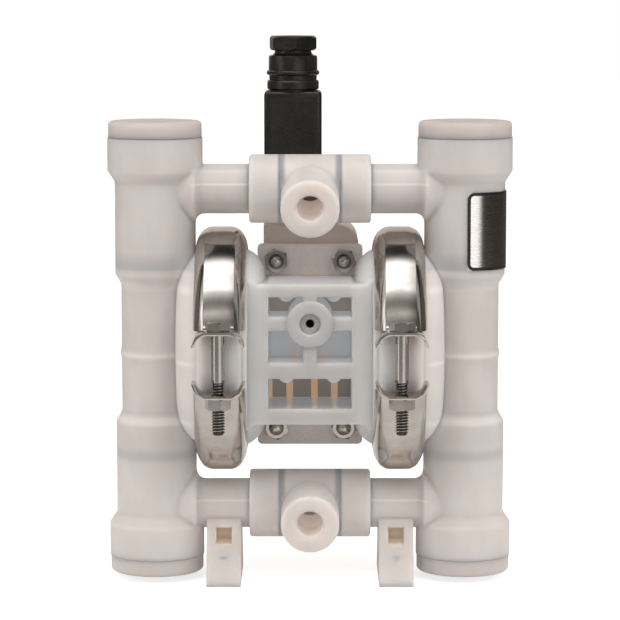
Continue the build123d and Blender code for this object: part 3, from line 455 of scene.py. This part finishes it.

# ---- outlet and inlet tees
# Each tee slips over the two stubs on o-rings, so its threaded port can be turned. The dark rings and the
# ends of the stubs behind the wall on both sides of the port are painted on it as shadows.
STUB_Z = 71.0
for tee_name, stub_z, droop in (("outlet_tee", STUB_Z, 12.0), ("inlet_tee", -STUB_Z, 7.0)):
    tee_finish, tee_shader, tee_point, tee_skin = milky_plastic(
        f"{tee_name}_plastic", (0.635, 0.602, 0.582, 1), (0.585, 0.55, 0.53, 1)
    )
    tee_x, tee_y, tee_z = axes(tee_point)
    slope = math.radians(droop)
    above_stub = tee_z - stub_z
    across = tee_y * -math.sin(slope) + above_stub * math.cos(slope)
    along = tee_y * -math.cos(slope) - above_stub * math.sin(slope)
    from_port = distance(tee_x, across)
    barrel = below(along, 14.0, 17.0)
    # Painted shadows of the o-rings and stub ends seen through the wall, and round the foot of the hub.
    ring_top = band(abs(tee_x) - 12.5, 2.3) * ramp(across, 3.0, 8.5) * 0.75
    ring_side = band(abs(tee_x) - 13.4, 1.5) * 0.9
    hub_foot = band(from_port - 13.5, 1.4) * ramp(along, -4.0, 4.0) * ramp(across, 1.0, 7.0, 0.9, 0.0)
    shadow = ring_top.math("MAXIMUM", ring_top, ring_side)
    shadow = shadow.math("MAXIMUM", shadow, hub_foot)
    # In the port's bore: painted shade on the upper wall.
    bore = below(from_port, 6.0, 6.8) * span(along, (0.0, 3.0), (31.0, 32.8))
    tee_skin = painted(
        tee_skin,
        ((0.20, 0.225, 0.27, 1), shadow * barrel),
        ((0.42, 0.35, 0.30, 1), bore * ramp(across, -3.0, 3.0)),
    )
    set_shader(tee_shader, {"Base Color": tee_skin})
    # Painted glow in place of light soaking through the wall: over the lower tee, under the barrel, and in
    # the port's bore, strongest on its lower wall.
    painted_glow(
        tee_shader,
        ((0.045, 0.042, 0.04, 1), below(tee_z, -60.0, -40.0)),
        ((0.085, 0.075, 0.068, 1), below(above_stub, -13.0, -6.0) * barrel),
        ((0.24, 0.20, 0.175, 1), bore * ramp(across, -4.5, 3.5, 1.0, 0.35)),
    )
    dress(tee_finish, tee_name)

# ---- centre section
# The middle casting of the pump carries the shaft between the two air chambers. It is moulded in the same
# plastic, darker towards the middle, with a painted glow on what shows through its windows.
BOSS_Z = 13.6
centre_finish, centre_shader, centre_point, centre_skin = milky_plastic(
    "centre_plastic", (0.64, 0.64, 0.635, 1), (0.60, 0.60, 0.595, 1)
)
centre_x, centre_y, centre_z = axes(centre_point)
windows = below(abs(centre_x), 18.3, 18.6) * ramp(centre_y, -27.0, -24.0)
sill = windows * span(centre_z, (-25.2, -24.6), (-24.0, -23.4))
gasket_bars = sum(band(centre_x - bar_x, 1.9) for bar_x in (-18.5, -9.2, 2.0, 11.0))
gasket_marks = below(abs(abs(centre_x) - 6.4), 1.2, 2.6) * windows * span(centre_z, (-9.0, -8.0), (-1.5, 1.5))
from_boss = distance(centre_x, centre_z - BOSS_Z)
centre_skin = painted(
    centre_skin,
    ((0.47, 0.47, 0.475, 1), ramp(abs(centre_x), 15.0, 23.0, 0.75, 0.0)),
    ((0.24, 0.235, 0.23, 1), sill),
    ((0.62, 0.43, 0.28, 1), sill * gasket_bars),
    ((0.66, 0.47, 0.32, 1), gasket_marks * 0.85),
    ((0.05, 0.05, 0.052, 1), below(from_boss, 1.75, 2.1)),
)
set_shader(centre_shader, {"Base Color": centre_skin})
# Painted glow in place of light soaking through the walls, on what shows through the windows, away from the
# screw boss.
painted_glow(centre_shader, ((0.125, 0.13, 0.137, 1), windows * ramp(from_boss, 4.8, 5.2)))
dress(centre_finish, "centre_section")

# ---- shaft, pistons and diaphragms
# A ground stainless shaft runs in two plastic bushings and carries a diaphragm at each end,
# clamped between an inner and an outer piston.
shaft_steel = grained(
    "shaft_steel", grey(0.56), grey(0.48), size=0.3, roughness=0.2, depth=0.005, metallic=1.0
)
piston_plastic = grained(
    "piston_plastic", (0.60, 0.59, 0.55, 1), (0.54, 0.53, 0.50, 1), size=0.8, roughness=0.45, depth=0.03
)
diaphragm_rubber = grained(
    "diaphragm_rubber", (0.02, 0.02, 0.022, 1), (0.03, 0.03, 0.03, 1), size=0.6, roughness=0.6, depth=0.04
)
dress(shaft_steel, "shaft", "valve_spool")
for side in ("left", "right"):
    dress(piston_plastic, f"inner_piston_{side}", f"outer_piston_{side}")
    dress(diaphragm_rubber, f"diaphragm_{side}", f"diaphragm_centre_{side}")
dress(valve_plastic, "shaft_bushings")
dress(seal_rubber, "shaft_seals")

# ---- clamp bands
# Each diaphragm joint is squeezed by a two-part band of polished stainless sheet: a channel
# rolled over both rims, with its ends turned out into lugs for the two clamp bolts. The upper
# half has a bright strap welded over its crown that turns out over the lug.
CLAMP_X = 39.4
CROWN_R = 55.0
SHELL_R = 53.9
BAND_END = 13.0
STRAP_HALF = 6.7
STRAP_START = 62.5
LUG_TOP = 14.5
LUG_REACH = 66.0
LUG_DEPTH = 14.5


def outline(shape, corners, place):
    """A flat face whose corners are given as pairs, set in space by place."""
    return shape.faces.new([shape.verts.new(place(u, v)) for u, v in corners])


def bevel(shape, geometry, width, segments, affect="EDGES"):
    bmesh.ops.bevel(
        shape,
        geom=geometry,
        offset=width,
        segments=segments,
        affect=affect,
        profile=0.5,
        material=-1,
        clamp_overlap=affect == "EDGES",
    )


def close_ends(shape):
    open_edges = [edge for edge in shape.edges if edge.is_boundary]
    bmesh.ops.holes_fill(shape, edges=open_edges, sides=0)


def everything(shape):
    return shape.verts[:] + shape.edges[:] + shape.faces[:]


def only(kind, geometry):
    return [item for item in geometry if isinstance(item, kind)]


def rotate(shape, degrees, axis):
    """Turns the whole shape about an axis through its origin."""
    turn = Matrix.Rotation(math.radians(degrees), 3, axis)
    bmesh.ops.rotate(shape, cent=(0, 0, 0), matrix=turn, verts=shape.verts)


def rolled(shape, geometry, pivot, degrees, steps):
    """Sweeps the geometry about an axis along X through the pivot. Gives its far end."""
    angle = math.radians(degrees)
    swept = bmesh.ops.spin(shape, geom=geometry, cent=pivot, axis=(1, 0, 0), angle=angle, steps=steps)
    return swept["geom_last"]


def copy_across(shape, geometry, scale):
    """A mirror copy of the geometry, scaled by -1 along one axis through the shaft."""
    copied = bmesh.ops.duplicate(shape, geom=geometry)["geom"]
    bmesh.ops.scale(shape, vec=scale, verts=only(bmesh.types.BMVert, copied))
    bmesh.ops.reverse_faces(shape, faces=only(bmesh.types.BMFace, copied))


def add_shape(shape, other):
    """Moves the geometry of another shape into this one."""
    data = bpy.data.meshes.new("join")
    other.to_mesh(data)
    other.free()
    shape.from_mesh(data)
    bpy.data.meshes.remove(data)


def fitted(name, shape, body, finish, stands_for, angle=35.0):
    """Turns a shape in millimetres from the shaft into a piece in place of a CAD node."""
    bmesh.ops.remove_doubles(shape, verts=shape.verts, dist=0.0005)
    bmesh.ops.recalc_face_normals(shape, faces=shape.faces)
    bmesh.ops.translate(shape, vec=(0, 0, 1000 * SHAFT), verts=shape.verts)
    bmesh.ops.scale(shape, vec=(0.001, 0.001, 0.001), verts=shape.verts)
    data = bpy.data.meshes.new(name)
    shape.to_mesh(data)
    shape.free()
    data.shade_smooth()
    data.set_sharp_from_angle(angle=math.radians(angle))
    data.materials.append(finish)
    piece = bpy.data.objects.new(name, data)
    scene.collection.objects.link(piece)
    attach(piece, body)
    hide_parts(stands_for)


polished, polished_shader, polished_point = new_finish("polished_steel")
polished_x, polished_y, polished_z = axes(polished_point)
round_way = polished_z.math("ARCTAN2", polished_z, abs(polished_y)) * 52.0
lay = polished_x.node("ShaderNodeCombineXYZ", None, {0: polished_x, 1: round_way, 2: 0.0})
streaks = noise(lay, 0.25, 3.0, (1, 0.04, 1))
smears = noise(polished_point, 9.0, 3.0)
# Painted dark reflection over the top of the strap.
strap_edges = ramp(distance(polished_y, polished_z), 54.2, 54.5)
strap_edges = strap_edges * below(abs(abs(polished_x) - CLAMP_X), STRAP_HALF + 0.05, STRAP_HALF + 0.15)
strap_top_dark_reflection = strap_edges * ramp(polished_z, 40.5, 45.5)
sheet_color = mixed((0.58, 0.545, 0.51, 1), (0.49, 0.455, 0.42, 1), ramp(smears, 0.35, 0.7))
set_shader(
    polished_shader,
    {
        "Base Color": mixed(sheet_color, (0.20, 0.19, 0.185, 1), strap_top_dark_reflection * 0.85),
        "Metallic": 1.0,
        "Roughness": ramp(streaks * 0.6 + smears * 0.4, 0.3, 0.7, 0.07, 0.2),
        "Normal": bump(streaks, 0.004),
    },
)


def channel(shape, crown):
    """Half a turn of rolled channel round the shaft axis, cut level with the lug."""
    sheet, side_x, shoulder_x, foot_r, hip_r = 1.3, 11.45, 7.4, 44.6, 47.9
    outer = [(side_x, foot_r), (side_x, hip_r), (shoulder_x, crown)]
    inner = [(side_x - sheet, foot_r), (side_x - sheet, hip_r - 0.6), (5.6, crown - sheet)]
    corners = outer + [(-u, v) for u, v in outer[::-1] + inner] + inner[::-1]
    outline(shape, corners, lambda u, v: Vector((CLAMP_X + u, -v, 0)))
    shoulders = [v for v in shape.verts if abs(abs(v.co.x - CLAMP_X) - shoulder_x) < 0.1]
    bevel(shape, shoulders, 3.3, 6, "VERTICES")
    hips = [v for v in shape.verts if abs(v.co.y + hip_r) < 0.05]
    bevel(shape, hips, 3.0, 4, "VERTICES")
    bmesh.ops.delete(shape, geom=shape.faces[:], context="FACES_ONLY")
    start = 8
    rotate(shape, -start, "X")
    rolled(shape, shape.edges[:], (0, 0, 0), 2 * start - 180, 96)
    cut = (0, 0, BAND_END)
    bmesh.ops.bisect_plane(
        shape, geom=everything(shape), plane_co=cut, plane_no=(0, 0, 1), clear_inner=True
    )
    close_ends(shape)


def lug():
    """The front lug: a flat tongue whose side walls flare down into the gap."""
    ear = bmesh.new()
    corners = [
        (-6.2, LUG_TOP), (6.2, LUG_TOP), (9.6, 12.6), (11.4, 8.0), (10.0, 8.0), (8.5, 11.6), (5.6, 13.1),
        (-5.6, 13.1), (-8.5, 11.6), (-10.0, 8.0), (-11.4, 8.0), (-9.6, 12.6),
    ]
    outline(ear, corners, lambda u, v: Vector((CLAMP_X + u, -LUG_REACH, v)))
    bends = [v for v in ear.verts if 5.0 < abs(v.co.x - CLAMP_X) < 9.7]
    bevel(ear, bends, 1.0, 4, "VERTICES")
    grown = bmesh.ops.extrude_face_region(ear, geom=ear.faces[:])["geom"]
    bmesh.ops.translate(ear, vec=(0, LUG_DEPTH, 0), verts=only(bmesh.types.BMVert, grown))
    close_ends(ear)
    bmesh.ops.recalc_face_normals(ear, faces=ear.faces)
    front_rims = [edge for edge in ear.edges if max(vert.co.y for vert in edge.verts) < 0.1 - LUG_REACH]
    bevel(ear, front_rims, 0.25, 2)
    return ear


def strap():
    """The bright strap: down over the crown, then out over the lug."""
    sheet = bmesh.new()
    under, bend_r = SHELL_R - 0.1, 2.4
    section = [(-STRAP_HALF, CROWN_R), (STRAP_HALF, CROWN_R), (STRAP_HALF, under), (-STRAP_HALF, under)]
    outline(sheet, section, lambda u, v: Vector((CLAMP_X + u, -v, 0)))
    bmesh.ops.delete(sheet, geom=sheet.faces[:], context="FACES_ONLY")
    stop = math.degrees(math.asin((LUG_TOP + bend_r) / (CROWN_R + bend_r)))
    rotate(sheet, -STRAP_START, "X")
    last = rolled(sheet, sheet.edges[:], (0, 0, 0), STRAP_START - stop, 40)
    pivot = Vector((CLAMP_X, -(CROWN_R + bend_r) * math.cos(math.radians(stop)), LUG_TOP + bend_r))
    last = rolled(sheet, last, pivot, stop - 90, 10)
    grown = bmesh.ops.extrude_edge_only(sheet, edges=only(bmesh.types.BMEdge, last))["geom"]
    for vert in only(bmesh.types.BMVert, grown):
        vert.co.y = -LUG_REACH + 0.3
    close_ends(sheet)
    bmesh.ops.recalc_face_normals(sheet, faces=sheet.faces)
    sides = [edge for edge in sheet.edges if edge.is_manifold and edge.calc_face_angle(0) > math.radians(50)]
    bevel(sheet, sides, 0.28, 2)
    return sheet


for side, flip in (("right", 1), ("left", -1)):
    for word, up in (("upper", 1), ("lower", -1)):
        half_band = bmesh.new()
        channel(half_band, SHELL_R if up > 0 else CROWN_R)
        ends = lug()
        if up > 0:
            add_shape(ends, strap())
        copy_across(ends, everything(ends), (1, -1, 1))
        add_shape(half_band, ends)
        bmesh.ops.scale(half_band, vec=(flip, 1, up), verts=half_band.verts)
        node = f"clamp_band_{word}_{side}"
        fitted(f"band_{word}_{side}", half_band, "pump_body", polished, node)

# ---- clamp bolts and nuts
# Four M6 hexagon bolts in stainless steel pull the band halves together, heads up, with the
# thread showing below the lower lugs.
BOLT_Y = 59.5
M6_FLATS = 10.0
M6_PITCH = 1.25
M6_HEAD = 4.0
M6_NUT = 5.0
BOLT_END = -30.5


def ring(shape, size, height, hexagon=False):
    """A loop of 24 edges: a circle of that radius, or a hexagon that wide across its flats."""
    loop = bmesh.new()
    if hexagon:
        bmesh.ops.create_circle(loop, segments=6, radius=size / 2 / math.cos(math.pi / 6))
        bmesh.ops.subdivide_edges(loop, edges=loop.edges, cuts=3)
    else:
        bmesh.ops.create_circle(loop, segments=24, radius=size)
    bmesh.ops.translate(loop, vec=(0, 0, height), verts=loop.verts)
    add_shape(shape, loop)
    shape.edges.ensure_lookup_table()
    return shape.edges[-24:]


def hexagon_part(flats, low, high, hole=0.0, mouth=0.0):
    """A hexagon nut or bolt head with coned corners, bored through if hole is given."""
    shape = bmesh.new()
    flat_r = flats / 2 * 0.97
    loops = []
    if hole:
        loops.append(ring(shape, hole, high - mouth))
        loops.append(ring(shape, hole + mouth, high))
    loops.append(ring(shape, flat_r, high))
    for height, up in ((high, -1), (low, 1)):
        edges = ring(shape, flats, height, True)
        for vert in {v for edge in edges for v in edge.verts}:
            vert.co.z += up * max(0.0, Vector(vert.co.xy).length - flat_r) * 0.58
        loops.append(edges)
    loops.append(ring(shape, flat_r, low))
    if hole:
        loops.append(ring(shape, hole, low))
        loops.append(loops[0])
    for first, second in zip(loops, loops[1:]):
        bmesh.ops.bridge_loops(shape, edges=first + second)
    if not hole:
        close_ends(shape)
    return shape


def lathed(profile, angle, steps, **how):
    """Pairs of radius and height turned about the Z axis."""
    shape = bmesh.new()
    verts = [shape.verts.new((radius, 0, height)) for radius, height in profile]
    edges = [shape.edges.new(pair) for pair in zip(verts, verts[1:])]
    bmesh.ops.spin(
        shape, geom=verts + edges, cent=(0, 0, 0), axis=(0, 0, 1), angle=angle, steps=steps, **how
    )
    return shape


def turned(profile, steps=40):
    """A body of revolution about the Z axis from pairs of radius and height."""
    shape = lathed(profile, 2 * math.pi, steps, use_merge=True)
    bmesh.ops.remove_doubles(shape, verts=shape.verts, dist=0.0005)
    return shape


def thread(radius, pitch, low, turns, steps=20):
    """A screw thread of one start, wound up from low."""
    root = radius - 0.61 * pitch
    ridge = ((root, 0.0), (radius, 0.4), (radius, 0.52), (root, 0.92), (root, 1.0))
    profile = [(r, low + share * pitch) for r, share in ridge]
    shape = lathed(profile, 2 * math.pi * turns, steps * turns, dvec=(0, 0, pitch / steps))
    bmesh.ops.remove_doubles(shape, verts=shape.verts, dist=0.002)
    close_ends(shape)
    return shape


def placed(shape, other, place, turn=0.0):
    """Adds the other shape, turned about Z by degrees and moved to its place."""
    rotate(other, turn, "Z")
    bmesh.ops.translate(other, vec=place, verts=other.verts)
    add_shape(shape, other)


fastener_steel = grained(
    "fastener_steel", (0.56, 0.53, 0.50, 1), (0.44, 0.415, 0.39, 1),
    size=0.35, roughness=0.16, depth=0.012, metallic=1.0, stretch=(1, 1, 0.3),
)
bolt_steel, bolt_shader, bolt_point = new_finish("bolt_steel")
bolt_x, bolt_y, bolt_z = axes(bolt_point)
from_axis = distance(abs(bolt_x) - CLAMP_X, abs(bolt_y) - BOLT_Y)
# Painted shade in the roots of the thread.
thread_root_shade = below(from_axis, 2.45, 2.9) * below(bolt_z, -7.5, -7.0)
bolt_grain = noise(bolt_point, 0.4, 3.0, (1, 1, 0.3))
bolt_skin = mixed((0.66, 0.63, 0.60, 1), (0.50, 0.47, 0.44, 1), bolt_grain)
set_shader(
    bolt_shader,
    {
        "Base Color": mixed(bolt_skin, (0.07, 0.06, 0.05, 1), thread_root_shade),
        "Metallic": 1.0,
        "Roughness": ramp(bolt_grain, 0.3, 0.7, 0.10, 0.2),
        "Normal": bump(bolt_grain, 0.006),
    },
)
shank = [
    (0, LUG_TOP + 0.1), (3.0, LUG_TOP + 0.1), (3.0, -7.6),
    (2.4, -8.2), (2.38, BOLT_END + 0.5), (1.9, BOLT_END), (0, BOLT_END),
]
bolts = bmesh.new()
nuts = bmesh.new()
for x, turn in ((-CLAMP_X, 11), (CLAMP_X, 24)):
    for y in (-BOLT_Y, BOLT_Y):
        placed(bolts, hexagon_part(M6_FLATS, LUG_TOP, LUG_TOP + M6_HEAD), (x, y, 0), turn)
        placed(bolts, turned(shank), (x, y, 0))
        placed(bolts, thread(2.98, M6_PITCH, BOLT_END + 0.6, 17), (x, y, 0), turn)
        placed(nuts, hexagon_part(M6_FLATS, -LUG_TOP - M6_NUT, -LUG_TOP, 3.02, 0.5), (x, y, 0), 15)
fitted("bolt_set", bolts, "pump_body", bolt_steel, "clamp_bolts", angle=30.0)
fitted("nut_set", nuts, "pump_body", bolt_steel, "clamp_nuts", angle=30.0)


# ---- valve gasket, adapter plate and its studs
# The air valve sits behind the centre section on a grey moulded plate and a tan rubber gasket
# with upright bars. Four studs with hexagon nuts hold it, their domed ends facing forward.
def behind_windows(point):
    """1 on what shows through the centre section, and the height above the shaft."""
    across, _, height = axes(point)
    return below(abs(across), 18.6, 19.4) * below(abs(height), 26.0, 28.0), height


gasket_tan, gasket_shader, gasket_point = new_finish("gasket_tan")
grain_on(
    gasket_shader, gasket_point, (0.80, 0.54, 0.34, 1), (0.70, 0.46, 0.28, 1),
    size=0.7, roughness=0.55, depth=0.03,
)
gasket_behind, _ = behind_windows(gasket_point)
# Painted glow where the gasket shows through the windows, in place of light soaking through the walls.
painted_glow(gasket_shader, ((0.20, 0.13, 0.08, 1), gasket_behind))
plate_grey, plate_shader, plate_point = new_finish("grey_plastic")
plate_skin = grain_on(
    plate_shader, plate_point, (0.62, 0.55, 0.52, 1), (0.54, 0.475, 0.45, 1),
    size=0.9, roughness=0.42, depth=0.03,
)
plate_behind, plate_z = behind_windows(plate_point)
# Painted cool grey where the plate shows through the windows, for the light that reaches it through the milky
# walls, and a painted glow of soaked-through light, brighter towards the top and weaker behind the windows.
set_shader(plate_shader, {"Base Color": mixed(plate_skin, (0.38, 0.37, 0.355, 1), plate_behind)})
painted_glow(
    plate_shader, ((0.085, 0.08, 0.075, 1), ramp(plate_z, -40.0, 30.0, 0.4, 1.1) - plate_behind * 0.2)
)
dress(gasket_tan, "valve_gasket")
dress(plate_grey, "adapter_plate")
dress(fastener_steel, "adapter_screws")

STUD_X, STUD_Z, PLATE_Y = 15.2, 37.8, 10.5
domed_stud = [
    (0, 7.2), (1.1, 7.08), (1.9, 6.7), (2.45, 6.0), (2.6, 5.3), (2.6, -17.5), (2.2, -18.0), (0, -18.0)
]
studs = bmesh.new()
stud_nuts = bmesh.new()
for x, turn in ((-STUD_X, 9), (STUD_X, 22)):
    for z in (-STUD_Z, STUD_Z):
        nut = hexagon_part(M6_FLATS, 0.0, M6_NUT, 2.7, 0.75)
        for shape, other, turn_by in ((studs, turned(domed_stud), 0), (stud_nuts, nut, turn)):
            rotate(other, turn_by, "Z")
            rotate(other, 90, "X")
            placed(shape, other, (x, PLATE_Y, z))
fitted("stud_set", studs, "pump_body", fastener_steel, "valve_studs", angle=40.0)
fitted("stud_nut_set", stud_nuts, "pump_body", fastener_steel, "valve_nuts", angle=30.0)

# ---- air valve, pilot head and silencer
# The valve body is a painted casting with a bolted end cover below and the pilot head above,
# which carries the coil and a small override button. A sintered silencer ends the exhaust.
grey_valve, valve_shader, valve_point = new_finish("grey_valve")
grain_on(
    valve_shader, valve_point, (0.50, 0.44, 0.41, 1), (0.43, 0.375, 0.35, 1),
    size=0.7, roughness=0.4, depth=0.03,
)
# A faint painted glow in place of light soaking through the casting.
set_shader(valve_shader, {"Emission Color": (0.07, 0.058, 0.048, 1), "Emission Strength": 1.0})
button_red = grained(
    "button_red", (0.35, 0.02, 0.012, 1), (0.28, 0.015, 0.01, 1), size=0.5, roughness=0.4, depth=0.02
)
bronze = grained(
    "silencer_bronze", (0.42, 0.27, 0.11, 1), (0.27, 0.16, 0.06, 1),
    size=0.35, roughness=0.5, depth=0.12, metallic=0.9,
)
dress(grey_valve, "valve_body", "valve_end_cover", "pilot_head")
dress(button_red, "override_button")
dress(bronze, "silencer")

# ---- solenoid coil
# A square coil potted in black resin slides over the stem of the pilot head and is held by
# one flat nut.
coil_black = grained(
    "coil_black", (0.022, 0.021, 0.020, 1), (0.035, 0.033, 0.031, 1), size=0.6, roughness=0.45, depth=0.04
)
dress(coil_black, "solenoid_coil")
dress(fastener_steel, "coil_nut")

# ---- plug connector and cable gland
# The plug is moulded in black nylon with a fine spark finish. Its neck is ringed, the gland
# screws into it and a hexagon nut squeezes the seal round a cable, which isn't fitted.
PLUG_X, PLUG_Y = -7.7, 28.3
PLUG_SIZE = (26.0, 22.0, 39.5)
PLUG_TOP = 113.5
connector_black = grained(
    "connector_black", (0.006, 0.0055, 0.005, 1), (0.013, 0.012, 0.011, 1),
    size=0.55, roughness=0.30, depth=0.05,
)
housing = bmesh.new()
bmesh.ops.create_cube(housing, size=1.0)
bmesh.ops.scale(housing, vec=PLUG_SIZE, verts=housing.verts)
bmesh.ops.translate(housing, vec=(PLUG_X, PLUG_Y, PLUG_TOP - PLUG_SIZE[2] / 2), verts=housing.verts)
uprights = [edge for edge in housing.edges if abs(edge.verts[0].co.z - edge.verts[1].co.z) > 30]
bevel(housing, uprights, 1.8, 4)
shoulders = [edge for edge in housing.edges if min(v.co.z for v in edge.verts) > PLUG_TOP - 0.5]
bevel(housing, shoulders, 1.7, 4)
front = min(housing.faces, key=lambda face: face.calc_center_median().y)
bmesh.ops.inset_individual(housing, faces=[front], thickness=2.0, depth=-0.5, use_even_offset=True)
rims = [
    edge for edge in housing.edges
    if edge.calc_face_angle(0) > math.radians(40) and max(v.co.y for v in edge.verts) < PLUG_Y - 10.0
]
bevel(housing, rims, 0.3, 2)
neck = [
    (0, 113.0), (10.6, 113.0), (10.6, 113.8), (11.3, 114.1), (11.7, 114.6), (11.7, 117.6), (11.3, 118.2),
    (10.6, 118.4), (0, 118.4),
]
placed(housing, turned(neck, 64), (PLUG_X, PLUG_Y, 0))
gland_rings = [
    (0, 118.2), (10.7, 118.2), (10.8, 120.4), (11.5, 120.7), (11.9, 121.2), (11.9, 122.1), (11.5, 122.6),
    (11.0, 122.8), (11.0, 128.6), (10.7, 129.3), (9.4, 129.6), (8.5, 130.4), (8.3, 131.2), (8.3, 131.9),
    (0, 131.9),
]
gland = bmesh.new()
placed(gland, turned(gland_rings, 64), (PLUG_X, PLUG_Y, 0))
cap_nut = bmesh.new()
placed(cap_nut, hexagon_part(19.8, 131.7, 138.2, 3.2, 1.2), (PLUG_X, PLUG_Y, 0), 8)
for name, shape, node in (
    ("plug_housing", housing, "connector_housing"),
    ("gland_rings", gland, "gland_body"),
    ("gland_cap_nut", cap_nut, "gland_nut"),
):
    fitted(name, shape, "pump_body", connector_black, node, angle=30.0)
dress(seal_rubber, "connector_gasket")

# ---- rating plate
# A thin foil plate with a dark printed border is stuck round the outer front of the right column. Its face is
# left bare of print and carries a painted reflection, bright on the left and dark on the right.
COLUMN_X = 69.0
PLATE_R = 18.6
PLATE_Z = 53.25
PLATE_HALF = 17.25
PLATE_CORNER = 3.0
foil, foil_shader, foil_point = new_finish("bare_foil")
foil_x, foil_y, foil_z = axes(foil_point)
round_column = foil_x.math("ARCTAN2", foil_x - COLUMN_X, foil_y * -1) * PLATE_R
into_corner = [
    inset.math("MAXIMUM", inset, 0.0)
    for inset in (
        PLATE_CORNER - (round_column - 0.3),
        PLATE_CORNER - (PLATE_HALF - abs(foil_z - PLATE_Z)),
    )
]
from_rim = PLATE_CORNER - distance(*into_corner)
border = below(from_rim, 1.35, 1.55)
brushed = noise(foil_point, 0.4, 3.0, (0.1, 0.1, 1))
# Painted reflection: bright and less metallic on the left, dark towards the right, with the printed border
# over it.
foil_print_and_reflection = painted(
    (0.97, 0.96, 0.95, 1),
    ((0.19, 0.18, 0.17, 1), ramp(round_column, 4.6, 7.8)),
    ((0.012, 0.012, 0.012, 1), border),
    ((0.60, 0.56, 0.54, 1), below(from_rim, -0.05, 0.05)),
)
set_shader(
    foil_shader,
    {
        "Base Color": foil_print_and_reflection,
        "Metallic": (1.0 - border) * ramp(round_column, 3.0, 9.0, 0.3, 1.0),
        "Roughness": ramp(brushed, 0.3, 0.7, 0.16, 0.30),
        "Normal": bump(brushed, 0.01),
    },
)
dress(foil, "rating_plate")
